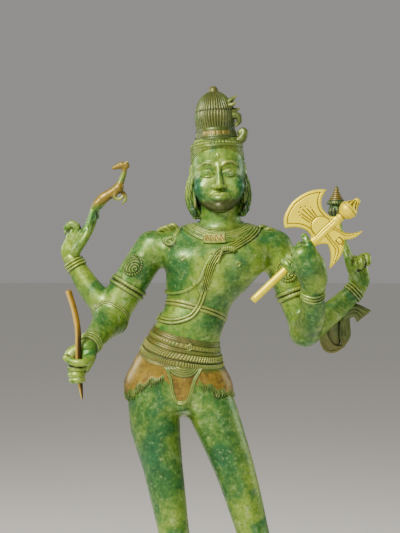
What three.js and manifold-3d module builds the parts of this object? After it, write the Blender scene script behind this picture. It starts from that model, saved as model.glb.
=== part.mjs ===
// A standing four-armed figure of cast bronze with a green patina, bent at neck, waist and knee,
// on a low round lotus pedestal. The raised back hands carry a leaping deer and a small covered pot,
// cast in one with the figure. The front fists grip a brass axe and a curved brass rod, which are
// separate pieces that slide through them. Millimetres, +Z up, the figure faces -Y, and the origin
// is the middle of the pedestal's underside.

import * as THREE from 'three';
import { mergeVertices } from 'three/addons/utils/BufferGeometryUtils.js';
import Module from 'manifold-3d';

const wasm = await Module();
wasm.setup();

// Driving dimensions, in millimetres
const FIGURE_HEIGHT = 840; // from the soles to the tip of the headdress
const BASE_DIAMETER = 244;
const BASE_HEIGHT = 78;
const SEAT_GAP = 0.3; // between the soles and the pedestal's top
const HAFT_DIAMETER = 9;
const HAFT_LENGTH = 153; // from the butt to the finial
const HEAD_START = 102; // from the butt to the lower edge of the axe's head
const AXE_THICKNESS = 7;
const BLADE_REACH = 55.5; // from the haft's middle line to the edge of the blade
const FINIAL_LENGTH = 32;
const ROD_DIAMETER = 7.6;
const ROD_SOCKET_DEPTH = 6;
const GRIP_GAP = 0.4; // between a fist and what it grips, all round

// The image-maker's module: the figure is counted out in angulas, and its points are given in
// them, from the middle of the pedestal's top.
const ANGULAS_TALL = 126.4;
const ANGULA = FIGURE_HEIGHT / ANGULAS_TALL;
const SOLE_HEIGHT = BASE_HEIGHT + SEAT_GAP;

const TURN = 2 * Math.PI;
const X = new THREE.Vector3(1, 0, 0);
const Y = new THREE.Vector3(0, 1, 0);
const Z = new THREE.Vector3(0, 0, 1);

const at = (x, y, z) => new THREE.Vector3(x, y, z);
const inRow = (point) => point.clone().multiplyScalar(ANGULA).add(at(0, 0, SOLE_HEIGHT));
const degrees = (a) => THREE.MathUtils.degToRad(a);
const lerp = THREE.MathUtils.lerp;

// Solids: building and joining

function solidOf(geometry) {
  const bare = geometry.clone();
  bare.deleteAttribute('normal');
  bare.deleteAttribute('uv');
  const merged = mergeVertices(bare, 1e-4);
  const corners = merged.attributes.position;
  const triVerts = new Uint32Array(merged.index.array);
  const p = [at(0, 0, 0), at(0, 0, 0), at(0, 0, 0)];
  let volume = 0;
  for (let i = 0; i < triVerts.length; i += 3) {
    p.forEach((corner, k) => corner.fromBufferAttribute(corners, triVerts[i + k]));
    volume += p[0].dot(p[1].clone().cross(p[2]));
  }
  if (volume < 0) {
    for (let i = 0; i < triVerts.length; i += 3) {
      [triVerts[i + 1], triVerts[i + 2]] = [triVerts[i + 2], triVerts[i + 1]];
    }
  }
  return new wasm.Manifold(
    new wasm.Mesh({ numProp: 3, vertProperties: new Float32Array(corners.array), triVerts }),
  );
}

const joined = (solids) => solids.reduce((whole, next) => whole.add(next));

function geometryOf(solid) {
  const mesh = solid.getMesh();
  const geometry = new THREE.BufferGeometry();
  geometry.setAttribute('position', new THREE.BufferAttribute(new Float32Array(mesh.vertProperties), 3));
  geometry.setIndex(Array.from(mesh.triVerts));
  return geometry;
}

// Rings of equal count skinned into one closed body, with a fan over each end, or round in a loop.
// Each four-cornered facet is split along its shorter diagonal.
function skin(rings, loop = false) {
  const sides = rings[0].length;
  const positions = rings.flat().flatMap((p) => p.toArray());
  const index = [];
  const spans = loop ? rings.length : rings.length - 1;
  for (let r = 0; r < spans; r += 1) {
    const a = r * sides;
    const b = ((r + 1) % rings.length) * sides;
    for (let i = 0; i < sides; i += 1) {
      const j = (i + 1) % sides;
      const [p, q, u, v] = [rings[r][i], rings[r][j], rings[(r + 1) % rings.length][j], rings[(r + 1) % rings.length][i]];
      const rising = p.distanceTo(u) < q.distanceTo(v) + 1e-6;
      index.push(...(rising ? [a + i, a + j, b + j, a + i, b + j, b + i] : [a + i, a + j, b + i, a + j, b + j, b + i]));
    }
  }
  if (!loop) {
    [0, rings.length - 1].forEach((r, end) => {
      const hub = positions.length / 3;
      const middle = rings[r].reduce((sum, p) => sum.add(p), at(0, 0, 0)).divideScalar(sides);
      positions.push(...middle.toArray());
      for (let i = 0; i < sides; i += 1) {
        const j = r * sides + ((i + 1) % sides);
        index.push(...(end ? [hub, r * sides + i, j] : [hub, j, r * sides + i]));
      }
    });
  }
  const geometry = new THREE.BufferGeometry();
  geometry.setAttribute('position', new THREE.Float32BufferAttribute(positions, 3));
  geometry.setIndex(index);
  return solidOf(geometry);
}

const around = (sides, place) => Array.from({ length: sides }, (_, i) => place((TURN * i) / sides, i));

// A small rounded mass: an ellipsoid of few facets.
function nub(centre, radii, turn = new THREE.Euler()) {
  const geometry = new THREE.SphereGeometry(1, 6, 4);
  geometry.rotateX(Math.PI / 2);
  geometry.scale(...radii);
  geometry.applyQuaternion(new THREE.Quaternion().setFromEuler(turn));
  geometry.translate(...centre.toArray());
  return solidOf(geometry);
}

// Limbs: a curve through points with a radius at each, round or flattened across one way

class Limb {
  constructor(points, radii, { flat = 1, toward = null } = {}) {
    this.curve = new THREE.CatmullRomCurve3(points, false, 'centripetal');
    this.length = this.curve.getLength();
    this.radii = radii;
    this.flat = flat;
    const chord = points[points.length - 1].clone().sub(points[0]).normalize();
    this.toward = toward ?? (Math.abs(chord.y) > 0.8 ? X : Y);
  }

  radius(t) {
    const place = THREE.MathUtils.clamp(t, 0, 1) * (this.radii.length - 1);
    const before = Math.min(Math.floor(place), this.radii.length - 2);
    return lerp(this.radii[before], this.radii[before + 1], place - before);
  }

  point(t, angle, lift = 0, share = 1, shift = 0) {
    const s = THREE.MathUtils.clamp(t, 0, 1);
    const along = this.curve.getTangent(s);
    const thick = this.toward.clone().addScaledVector(along, -this.toward.dot(along)).normalize();
    const wide = thick.clone().cross(along);
    const r = (this.radius(s) + lift) * share;
    return this.curve.getPoint(s)
      .addScaledVector(wide, r * Math.cos(angle))
      .addScaledVector(thick, r * this.flat * Math.sin(angle))
      .addScaledVector(along, shift);
  }

  ring(t, sides, lift = 0, share = 1, shift = 0) {
    return around(sides, (angle) => this.point(t, angle, lift, share, shift));
  }

  // Steps along it as [share of the length, lift], with a raised cuff at each given place.
  steps(count, cuffs = []) {
    const plain = Array.from({ length: count + 1 }, (_, i) => [i / count, 0]);
    return cuffs.reduce((kept, { t, width, lift }) => {
      const half = width / 2 / this.length;
      const bevel = (0.4 * lift) / this.length;
      return [
        ...kept.filter(([s]) => Math.abs(s - t) > half + 0.03),
        [t - half, 0], [t - half + bevel, lift], [t + half - bevel, lift], [t + half, 0],
      ];
    }, plain).sort((a, b) => a[0] - b[0]);
  }

  // The body with flat ends, or with a blunt dome on either end that shows.
  body(sides, steps, { start = false, end = false } = {}) {
    const dome = 0.65 * this.flat;
    const rings = steps.map(([t, lift]) => this.ring(t, sides, lift));
    if (start) rings.unshift(this.ring(0, sides, 0, 0.62, -dome * this.radius(0)));
    if (end) rings.push(this.ring(1, sides, 0, 0.62, dome * this.radius(1)));
    return skin(rings);
  }
}

// A plain limb with a domed end, and a finger or strand of five sides with flat ends.
const limb = (points, radii, sides, count, options) => {
  const part = new Limb(points, radii, options);
  return part.body(sides, part.steps(count), { end: true });
};
const slip = (points, radii, count = 3, options = {}) => {
  const part = new Limb(points, radii, options);
  return part.body(5, part.steps(count));
};

// A raised strap along a path on a surface: its section is given as [offset across, lift].
const plainStrap = (width, lift) => [[-0.5 * width, -0.5], [-0.3 * width, lift], [0.3 * width, lift], [0.5 * width, -0.5]];

function strap(stations, section, loop = false) {
  const last = stations.length - 1;
  return skin(stations.map(({ point, normal }, i) => {
    const next = stations[loop ? (i + 1) % (last + 1) : Math.min(i + 1, last)].point;
    const before = stations[loop ? (i + last) % (last + 1) : Math.max(i - 1, 0)].point;
    const across = next.clone().sub(before).cross(normal).normalize();
    return section.map(([offset, lift]) =>
      point.clone().addScaledVector(across, offset).addScaledVector(normal, lift));
  }), loop);
}

// Torso: sections from the fork of the legs to the neck, leaning in the triple bend

const TORSO_SIDES = 16;
const TORSO_SQUARENESS = 2.25;
const TORSO = [
  { z: 61.0, x: -6.7, y: 0.6, half: 2.4, front: 1.6, back: 3.0 },
  { z: 62.8, x: -7.1, y: 0.5, half: 7.8, front: 4.4, back: 6.0 },
  { z: 66.4, x: -7.3, y: 0.4, half: 10.4, front: 5.7, back: 6.8 },
  { z: 70.8, x: -7.5, y: 0.2, half: 8.9, front: 5.6, back: 5.9 },
  { z: 75.0, x: -6.6, y: 0.0, half: 7.4, front: 5.3, back: 4.8 },
  { z: 79.0, x: -4.95, y: 0.0, half: 6.9, front: 5.2, back: 4.5 },
  { z: 83.0, x: -3.15, y: 0.0, half: 6.65, front: 5.3, back: 4.7 },
  { z: 86.6, x: -1.4, y: 0.0, half: 8.4, front: 6.2, back: 5.6 },
  { z: 90.0, x: -0.1, y: 0.0, half: 9.8, front: 6.7, back: 6.2 },
  { z: 93.4, x: 0.1, y: 0.2, half: 11.2, front: 6.2, back: 5.9 },
  { z: 96.0, x: 0.3, y: 0.5, half: 11.0, front: 4.8, back: 4.9 },
  { z: 97.8, x: 0.6, y: 0.6, half: 9.0, front: 3.5, back: 3.7 },
  { z: 98.8, x: 0.9, y: 0.7, half: 5.6, front: 2.6, back: 2.8 },
];

function torsoSection(z) {
  const top = TORSO.length - 1;
  const level = THREE.MathUtils.clamp(z, TORSO[0].z, TORSO[top].z);
  const above = Math.max(1, TORSO.findIndex((s) => s.z >= level));
  const below = above - 1;
  const step = TORSO[above].z - TORSO[below].z;
  const t = (level - TORSO[below].z) / step;
  const value = (key) => {
    const [p, q] = [TORSO[below][key], TORSO[above][key]];
    const slope = (a, b) => (TORSO[b][key] - TORSO[a][key]) / (TORSO[b].z - TORSO[a].z);
    const start = below > 0 ? slope(below - 1, above) * step : q - p;
    const end = above < top ? slope(below, above + 1) * step : q - p;
    return (2 * t ** 3 - 3 * t ** 2 + 1) * p + (t ** 3 - 2 * t ** 2 + t) * start
      + (3 * t ** 2 - 2 * t ** 3) * q + (t ** 3 - t ** 2) * end;
  };
  return { x: value('x'), y: value('y'), half: value('half'), front: value('front'), back: value('back') };
}

// The torso's skin at an angle round it, 0 in front and 90 degrees to the viewer's right.
function torsoPoint(angle, z, lift = 0) {
  const s = torsoSection(z);
  const rounded = (v) => Math.sign(v) * Math.abs(v) ** (2 / TORSO_SQUARENESS);
  const side = rounded(Math.sin(angle));
  const fore = rounded(Math.cos(angle));
  return at(s.x + (s.half + lift) * side, s.y - ((fore > 0 ? s.front : s.back) + lift) * fore, z);
}

function torsoStation(angle, z) {
  const step = 0.02;
  const round = torsoPoint(angle + step, z).sub(torsoPoint(angle - step, z));
  const rise = torsoPoint(angle, z + 0.3).sub(torsoPoint(angle, z - 0.3));
  return { point: torsoPoint(angle, z), normal: round.cross(rise).normalize() };
}

// Rings of the torso tip sideways and dip in front as the belts do: [height, tilt, rise].
const TORSO_TIP = [
  [60, 0, 0], [66.4, -0.5, 0], [71.7, -1.7, -1.5], [77.1, -1.7, -0.5], [81.6, -1.7, 0.9], [88, 0, 0], [99, 0, 0],
];

// Ring heights with their lifts. The girdle is four bands parted by grooves, and the chest band one.
// Below the girdle a hide hangs round the hips, and its hem is a row of pointed tufts that rises
// in front and behind.
const HEM = { height: 64.7, lift: 0.25, rise: 2.6, tuft: 1.1 };
const TORSO_RINGS = [
  [61.0, 0], [62.2, 0], [63.2, 0], [HEM.height, 0], [HEM.height, HEM.lift], [71.5, HEM.lift],
  [71.7, 0.5], [72.9, 0.5], [73.1, 0.25], [73.3, 0.55], [74.3, 0.55], [74.5, 0.25], [74.7, 0.5], [75.9, 0.45],
  [76.1, 0.2], [76.9, 0.2], [77.1, 0], [80.7, 0], [80.9, 0.35],
  [82.1, 0.35], [82.3, 0], [84.4, 0], [87.2, 0], [90.0, 0], [93.4, 0], [96.0, 0], [97.8, 0], [98.8, 0],
];

function torso() {
  const tipAt = (height, column) => {
    const level = Math.max(height, TORSO_TIP[0][0]);
    const above = Math.max(1, TORSO_TIP.findIndex(([h]) => h >= level));
    const [low, high] = [TORSO_TIP[above - 1], TORSO_TIP[above]];
    return lerp(low[column], high[column], (level - low[0]) / (high[0] - low[0]));
  };
  return skin(TORSO_RINGS.map(([height, lift]) => around(TORSO_SIDES, (angle, i) => {
    const hem = height === HEM.height ? HEM.rise * Math.cos(angle) ** 2 - (i % 2 ? HEM.tuft : 0) : 0;
    const tip = tipAt(height, 1) * Math.sin(angle) + tipAt(height, 2) * Math.cos(angle);
    return torsoPoint(angle, height + tip + hem, lift);
  })));
}

// A strand laid on the torso through places given as degrees round it and height.
function strand(places, section, steps) {
  const path = new THREE.CatmullRomCurve3(places.map(([a, z]) => at(degrees(a), 0, z)), false, 'centripetal');
  return strap(Array.from({ length: steps + 1 }, (_, i) => {
    const p = path.getPoint(i / steps);
    return torsoStation(p.x, p.z);
  }), section);
}

const THREAD = [[58, 97.2], [38, 95.2], [22, 93.0], [15, 90.0], [12, 86.4], [7, 82.2], [-5, 79.9], [-30, 79.0], [-88, 80.0]];
const THIN_THREAD = [[20, 91.4], [10, 87.6], [-6, 85.4], [-40, 84.4], [-90, 85.0]];

// The loincloth's end, which hangs in a tongue before the fork of the legs.
const TONGUE = { top: 71.0, bottom: 63.0, left: -9.9, right: -2.7, tip: -6.7, face: -6.1 };

function loincloth() {
  const wide = (t) => 0.5 * (TONGUE.right - TONGUE.left) * Math.sqrt(1 - t ** 2) * (1 - 0.3 * t) + 0.4;
  return skin([0, 0.3, 0.6, 0.85, 1].map((t) => {
    const z = lerp(TONGUE.top, TONGUE.bottom, t);
    const middle = lerp(0.5 * (TONGUE.left + TONGUE.right), TONGUE.tip, t);
    const w = wide(t);
    return [at(middle - w, -2.5, z), at(middle - w, TONGUE.face, z), at(middle, TONGUE.face - 0.5, z),
      at(middle + w, TONGUE.face, z), at(middle + w, -2.5, z)];
  }));
}

// Legs: the figure's right leg carries the weight, the left is bent and turned out

const RIGHT_LEG = new Limb(
  [at(-12.6, 0.4, 66), at(-11.9, 0.2, 58.2), at(-10.4, -0.4, 50.4), at(-8.6, -1.0, 40), at(-7.7, -0.9, 34.6),
    at(-6.5, 0.6, 26), at(-5.4, 1.8, 14), at(-4.8, 2.4, 4.2)],
  [5.0, 4.95, 3.95, 3.2, 2.9, 3.05, 2.0, 1.75],
);
const LEFT_LEG = new Limb(
  [at(-2.2, 0.3, 66), at(0.1, -0.4, 60.2), at(3.8, -1.7, 50.4), at(6.9, -3.6, 40), at(8.1, -4.2, 35.2),
    at(8.3, -2.2, 26), at(7.6, 0.6, 14), at(7.2, 2.0, 4.2)],
  [4.9, 4.75, 3.95, 3.25, 2.95, 3.05, 2.0, 1.75],
);
const LEG_SIDES = 10;
const ANKLET = { t: 0.95, width: 1.5, lift: 0.4 };

// A foot runs from the heel to the toes; its direction is its turn out from straight ahead.
function foot(ankle, turn) {
  const ahead = at(Math.sin(degrees(turn)), -Math.cos(degrees(turn)), 0);
  const aside = Z.clone().cross(ahead);
  const place = (run, side, rise) =>
    at(ankle.x, ankle.y, rise).addScaledVector(ahead, run).addScaledVector(aside, side);
  const section = (run, half, height) => [
    [-0.9, 0], [-1, 0.4], [-0.5, 0.9], [0, 1], [0.5, 0.9], [1, 0.4], [0.9, 0],
  ].map(([side, rise]) => place(run, side * half, rise * height));
  const inside = turn > 10 ? -1 : 1;
  const greatToe = slip([place(7.0, 2.0 * inside, 1.1), place(10.3, 2.0 * inside, 0.8)], [0.95, 0.7], 1);
  return joined([
    skin([section(-3.0, 1.1, 2.0), section(-2.3, 1.8, 3.6), section(0.2, 2.0, 4.4), section(3.0, 2.2, 3.4),
      section(6.4, 2.75, 2.1), section(9.4, 2.2, 1.1)]),
    greatToe,
  ]);
}

// Arms: each upper arm parts into a front and a back forearm at the elbow

const ARMLETS = [{ t: 0.6, width: 2.0, lift: 0.4 }];
const BRACELET = { t: 0.9, width: 1.9, lift: 0.35 };
const UPPER_ARMS = [
  new Limb([at(-12.6, 0.8, 94.2), at(-16.7, 0.8, 87.6), at(-20.6, 0.5, 81.0)], [3.4, 3.5, 3.4]),
  new Limb([at(12.1, 0.8, 94.3), at(15.0, 0.4, 86.6), at(18.0, -0.6, 78.2)], [3.4, 3.2, 2.85]),
];
const FOREARMS = [
  new Limb([at(-21.6, 0.6, 81.8), at(-25.3, 1.4, 86.2), at(-28.9, 2, 92.0)], [2.7, 2.35, 1.7]),
  new Limb([at(-20.6, 0.3, 80.4), at(-21.9, -4, 78.5), at(-24.6, -10.7, 74.8)], [3.2, 2.7, 1.7]),
  new Limb([at(19.2, 0.2, 78.0), at(24.3, 1.4, 81.9), at(29.0, 2, 86.2)], [2.6, 2.3, 1.7]),
  new Limb([at(17.8, -1.0, 77.5), at(18.8, -6.4, 80.6), at(18.4, -11.7, 86.6)], [2.7, 2.6, 1.9]),
];

// The round ornament on the outer front of an upper arm, above the armlets.
function medallion(arm, t) {
  const front = -Math.PI / 2;
  const seat = arm.point(t, front);
  const normal = seat.clone().sub(arm.curve.getPoint(t)).normalize();
  const disc = (radius, height) => around(9, (angle) => at(radius * Math.cos(angle), radius * Math.sin(angle), height)
    .applyQuaternion(new THREE.Quaternion().setFromUnitVectors(Z, normal)).add(seat));
  return skin([disc(2.4, -1.2), disc(2.4, 0.15), disc(1.2, 0.8)]);
}

function arms() {
  return [
    ...UPPER_ARMS.map((arm) => arm.body(8, arm.steps(3, ARMLETS), { start: true, end: true })),
    ...FOREARMS.map((arm) => arm.body(8, arm.steps(3, [BRACELET]))),
    ...UPPER_ARMS.map((arm) => medallion(arm, 0.3)),
  ];
}

// Hands

// A finger that wraps a gripped bar: an arc round the bar's line, from one angle to another.
function wrapped(centre, axis, barRadius, thickness, from, to) {
  const first = Math.abs(axis.x) > 0.5 ? Y : X;
  const u = first.clone().addScaledVector(axis, -first.dot(axis)).normalize();
  const v = axis.clone().cross(u);
  const reach = barRadius + 0.7 * thickness;
  const points = Array.from({ length: 5 }, (_, i) => {
    const a = degrees(lerp(from, to, i / 4));
    return centre.clone().addScaledVector(u, reach * Math.cos(a)).addScaledVector(v, reach * Math.sin(a));
  });
  return slip(points, [thickness, thickness, 0.8 * thickness], 3, { toward: axis });
}

// Each back hand raises two fingers side by side and folds two.
function backHands() {
  return [
    limb([at(-28.7, 2, 91.4), at(-28.9, 2, 93.6), at(-28.1, 2, 96.4)], [1.65, 1.95, 1.5], 8, 2, { flat: 0.75 }),
    slip([at(-27.2, 1.5, 94.2), at(-25.4, 1.4, 97.3), at(-24.5, 1.4, 99.8), at(-24.0, 1.5, 102.4)],
      [1.3, 1.15, 1.0], 3, { flat: 1.3 }),
    slip([at(-28.2, 1.9, 95.8), at(-27.9, 1.9, 98.2), at(-29.1, 1.9, 98.4), at(-29.3, 1.9, 96.8)],
      [0.85, 0.75, 0.6], 3, { flat: 1.7 }),
    limb([at(28.8, 2, 85.8), at(29.3, 2, 87.8), at(29.2, 2, 90.6)], [1.7, 2.0, 1.6], 8, 2, { flat: 0.75 }),
    slip([at(28.2, 1.6, 88.6), at(26.9, 1.6, 92.2), at(25.7, 1.7, 95.6), at(24.9, 1.8, 98.8)],
      [1.15, 0.85, 0.75], 3, { flat: 1.6 }),
    slip([at(29.3, 1.8, 90.2), at(29.5, 1.8, 92.5), at(30.5, 1.8, 92.4), at(30.3, 1.8, 90.9)],
      [0.9, 0.8, 0.6], 3, { flat: 1.7 }),
  ];
}

// The curved rod's middle line, from its drilled top to its pointed foot.
const ROD_LINE = [at(-27.5, -15.6, 85.9), at(-26.5, -14.2, 82.0), at(-26.0, -13.2, 78.4), at(-26.0, -12.6, 74.2),
  at(-25.8, -12.6, 70.0), at(-25.2, -13.1, 65.4)];
const ROD_GRIP = (ROD_DIAMETER / 2 + GRIP_GAP) / ANGULA;

function rightFrontHand() {
  const down = at(0.05, 0, -1).normalize();
  const onRod = (z) => at(-26.0, -12.6, z);
  return [
    limb([at(-24.4, -9.9, 75.1), at(-24.2, -11.0, 73.4), at(-24.7, -11.4, 70.9)], [1.7, 1.75, 1.15], 8, 2),
    wrapped(onRod(73.7), down, ROD_GRIP + 0.35, 0.7, 40, 250),
    wrapped(onRod(72.4), down, ROD_GRIP, 0.62, 10, 290),
    wrapped(onRod(71.3), down, ROD_GRIP, 0.6, 10, 290),
    wrapped(onRod(70.3), down, ROD_GRIP, 0.56, 10, 285),
    slip([at(-23.6, -10.8, 74.4), at(-23.7, -13.2, 73.7), at(-25.2, -14.7, 73.2)], [0.85, 0.75, 0.55]),
  ];
}

// The axe's haft rises to the figure's left, behind the palm of the left front hand.
const HAFT_FOOT = at(6.9, -12.9, 83.9);
const HAFT_AHEAD = at(20.5, 0.3, 19.5).normalize();
const HAFT_GRIP = (HAFT_DIAMETER / 2 + GRIP_GAP) / ANGULA;

function leftFrontHand() {
  const onHaft = (run) => HAFT_FOOT.clone().addScaledVector(HAFT_AHEAD, run);
  return [
    limb([at(18.4, -11.4, 86.1), at(18.2, -13.1, 88.0), at(17.2, -14.5, 90.4), at(15.7, -14.9, 93.0)],
      [2.0, 2.75, 3.1, 2.3], 10, 3, { flat: 0.6 }),
    ...[10.4, 11.7, 13.0, 14.2].map((run, i) =>
      wrapped(onHaft(run), HAFT_AHEAD, HAFT_GRIP, [0.6, 0.68, 0.7, 0.66][i], 200, -20)),
    slip([at(19.4, -13.4, 89.4), at(18.3, -14.6, 92.8), at(16.6, -14.3, 96.0)], [1.3, 1.0, 0.55]),
  ];
}

// Head: sections from the chin to the knob on the piled hair, in the head's own frame. The face
// is 13 angulas from chin to hairline, parted in thirds at the nose and the brows.

const FACE = 13;
const HEAD_SIDES = 14;
const HEAD = [
  { z: 0.0, y: -2.6, half: 1.5, front: 1.6, back: 1.2 },
  { z: 0.8, y: -1.9, half: 2.7, front: 2.9, back: 3.2 },
  { z: 2.2, y: -1.0, half: 4.15, front: 3.6, back: 4.6 },
  { z: 4.6, y: -0.4, half: 5.0, front: 4.35, back: 5.2 },
  { z: 7.4, y: -0.1, half: 5.15, front: 4.7, back: 5.6 },
  { z: 9.4, y: 0.0, half: 5.2, front: 5.0, back: 5.7 },
  { z: 12.3, y: 0.1, half: 5.05, front: 4.9, back: 5.6 },
  { z: 12.6, y: 0.2, half: 5.2, front: 5.5, back: 6.0 },
  { z: 13.9, y: 0.2, half: 5.2, front: 5.5, back: 6.0 },
  { z: 14.2, y: 0.3, half: 4.5, front: 4.7, back: 5.0 },
  { z: 14.9, y: 0.3, half: 4.8, front: 5.1, back: 5.3 },
  { z: 15.7, y: 0.3, half: 4.25, front: 4.5, back: 4.7 },
  { z: 16.2, y: 0.3, half: 4.4, front: 4.8, back: 4.9 },
  { z: 16.7, y: 0.3, half: 3.75, front: 4.15, back: 4.3, flute: 1 },
  { z: 19.4, y: 0.3, half: 3.85, front: 4.25, back: 4.4, flute: 1 },
  { z: 21.8, y: 0.3, half: 3.35, front: 3.6, back: 3.7, flute: 1 },
  { z: 23.2, y: 0.3, half: 2.4, front: 2.6, back: 2.6, flute: 0.6 },
  { z: 23.9, y: 0.3, half: 1.2, front: 1.2, back: 1.2 },
  { z: 25.1, y: 0.3, half: 0.8, front: 0.8, back: 0.8 },
];
const HEAD_SEAT = at(1.1, -0.9, 101.3);
const HEAD_TILT = -3.4;
const FLUTE_DEPTH = 0.3;

function skull() {
  return skin(HEAD.map(({ z, y, half, front, back, flute = 0 }) => around(HEAD_SIDES, (angle, i) => {
    const cut = i % 2 ? flute * FLUTE_DEPTH : 0;
    const fore = Math.cos(angle);
    return at((half - cut) * Math.sin(angle), y - ((fore > 0 ? front : back) - cut) * fore, z);
  })));
}

function face() {
  const brow = (2 * FACE) / 3;
  const tip = FACE / 3 + 0.2;
  const mouth = FACE / 5 + 0.1;
  const side = (s) => [
    slip([at(s * 0.5, -5.0, brow), at(s * 2.1, -4.9, brow + 0.7), at(s * 4.0, -3.5, brow + 0.1)], [0.3, 0.36, 0.2], 3),
    nub(at(s * 2.1, -4.2, brow - 1.4), [1.35, 0.75, 0.6]),
    slip([at(s * 5.0, 0.9, 8.4), at(s * 5.5, 0.9, 6.4), at(s * 5.7, 0.9, 2.6), at(s * 5.1, 0.6, -0.2)],
      [0.6, 0.9, 0.9, 0.7], 4),
    nub(at(s * 4.9, -0.7, 0.2), [0.75, 0.9, 1.3]),
  ];
  return [
    slip([at(0, -4.7, brow + 0.2), at(0, -5.35, brow - 1.9), at(0, -5.8, tip)], [0.42, 0.6, 1.05], 2),
    nub(at(0, -4.45, mouth - 0.2), [1.6, 0.6, 0.62]),
    ...side(-1), ...side(1),
  ];
}

// What is fixed in the piled hair on the figure's left: flower points and the crescent moon.
function hairOrnaments() {
  return [
    slip([at(2.4, -1.2, 21.2), at(3.5, -1.3, 21.9), at(4.4, -1.4, 22.8)], [0.8, 0.5, 0.15], 2),
    slip([at(3.0, -1.2, 19.6), at(4.2, -1.3, 19.9), at(5.0, -1.4, 20.1)], [0.7, 0.45, 0.15], 2),
    slip([at(3.1, -1.4, 18.9), at(4.4, -1.6, 18.3), at(4.1, -1.5, 16.8)], [0.8, 0.65, 0.4], 3),
    slip([at(4.2, -1.2, 13.4), at(5.1, -1.3, 14.3), at(5.5, -1.3, 15.9)], [0.9, 0.85, 0.35], 3, { flat: 0.6 }),
  ];
}

const head = () => joined([skull(), ...face(), ...hairOrnaments()])
  .rotate([0, HEAD_TILT, 0]).translate(HEAD_SEAT.toArray());
const NECK = new Limb([at(1.0, 0.6, 96), at(1.1, 0.3, 99.4), at(1.1, 0.2, 103.5)], [4.6, 4.05, 3.9], { flat: 0.92 });

// The broad collar of two ridges lies on the chest, lowest in front, with a plaque of stones.
const COLLAR = { x: 1.0, half: 6.2, reach: 4.7, side: 99.0, front: 96.7 };
const COLLAR_SECTION = [[-1.7, -0.7], [-1.1, 0.45], [0, 0.05], [1.1, 0.45], [1.7, -0.7]];

function collar() {
  const ring = around(14, (angle) => {
    const fore = Math.cos(angle);
    return {
      point: at(COLLAR.x + COLLAR.half * Math.sin(angle), 0.4 - COLLAR.reach * fore,
        lerp(COLLAR.side, COLLAR.front, Math.max(0, fore) ** 1.5)),
      normal: at(0.4 * Math.sin(angle), -0.7 * fore, 0.75).normalize(),
    };
  });
  const plaque = new THREE.BoxGeometry(4.2, 1.1, 1.6);
  plaque.rotateX(degrees(-38));
  plaque.translate(COLLAR.x + 0.2, -5.3, 96.0);
  return [strap(ring, COLLAR_SECTION, true), solidOf(plaque)];
}

// Tufts of hair on the shoulders, and the leaf pendant that hangs before the right one.
function shoulderOrnaments() {
  const tuft = (x, z) => slip([at(x - 2.4, 0.4, z - 1.2), at(x - 0.6, 0.4, z + 0.2), at(x + 1.8, 0.4, z - 0.4)],
    [0.5, 0.75, 0.4], 3);
  return [
    tuft(-9.4, 98.0), tuft(9.8, 97.8),
    nub(at(-9.6, -2.4, 96.0), [1.15, 1.2, 2.1], new THREE.Euler(0, degrees(15), 0)),
  ];
}

// What the back hands carry

// The deer springs up from the fingertips and looks back over its shoulder.
function deer() {
  return [
    limb([at(-23.6, 1.5, 102.6), at(-22.6, 1.4, 104.0), at(-20.8, 1.3, 105.2), at(-19.3, 1.3, 106.2)],
      [1.3, 1.3, 1.05, 1.15], 6, 3),
    slip([at(-24.3, 1.5, 100.4), at(-24.0, 1.5, 102.4), at(-22.9, 1.45, 103.8)], [0.9, 0.95, 1.1], 2),
    slip([at(-19.4, 1.3, 105.8), at(-18.8, 1.3, 107.8), at(-18.3, 1.3, 110.4)], [1.0, 0.75, 0.6], 2),
    slip([at(-17.7, 1.3, 110.5), at(-18.9, 1.3, 110.7), at(-20.3, 1.3, 110.4)], [0.5, 0.72, 0.35], 2),
    slip([at(-18.2, 1.3, 110.8), at(-17.8, 1.5, 111.2), at(-17.5, 1.7, 111.5)], [0.35, 0.3, 0.15], 1),
    slip([at(-19.6, 0.9, 105.4), at(-20.0, 0.7, 104.2), at(-18.9, 0.6, 103.9), at(-18.2, 0.6, 104.6)],
      [0.5, 0.36, 0.3], 3),
    slip([at(-19.1, 1.7, 105.8), at(-18.1, 2.0, 104.7), at(-18.2, 2.0, 103.4)], [0.55, 0.4, 0.32], 2),
  ];
}

const POT_FOOT = at(24.5, 1.8, 98.4);
const POT_PROFILE = [[0, 0], [0.75, 0], [0.6, 1.6], [1.6, 3.0], [1.6, 3.9], [1.35, 4.6], [2.0, 5.0],
  [1.5, 5.9], [0.95, 6.8], [0.5, 7.6], [0, 8.6]];

function pot() {
  const turned = new THREE.LatheGeometry(POT_PROFILE.map(([r, z]) => new THREE.Vector2(r, z)), 8);
  turned.rotateX(Math.PI / 2);
  turned.translate(...POT_FOOT.toArray());
  return solidOf(turned);
}

// The scarf's end hangs in a loop from the left elbow and flares out to one side.
function scarf() {
  const fan = [[25.2, 77.0], [25.0, 80.0], [26.0, 81.6], [28.6, 82.2], [31.0, 81.2], [29.6, 80.2], [27.6, 79.0]];
  const leaf = new THREE.ExtrudeGeometry(
    new THREE.Shape(fan.map(([x, z]) => new THREE.Vector2(x, z))), { depth: 0.8, bevelEnabled: false });
  leaf.rotateX(Math.PI / 2);
  leaf.translate(0, 3.2, 0);
  return [
    limb([at(21.6, 1.6, 78.8), at(22.3, 2.4, 76.0), at(24.0, 2.8, 73.8), at(25.7, 2.8, 75.0), at(25.9, 2.8, 78.4)],
      [1.0, 1.2, 1.25, 1.1, 0.95], 6, 6, { flat: 0.6 }),
    solidOf(leaf),
  ];
}

// The loose brass pieces

const BAR_SIDES = 8;

// A bar along a line in row millimetres; the same bar, a little wider, cuts its own channel.
function bar(points, radii) {
  const part = new Limb(points, radii);
  return part.body(BAR_SIDES, part.steps(points.length + 1));
}

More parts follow.
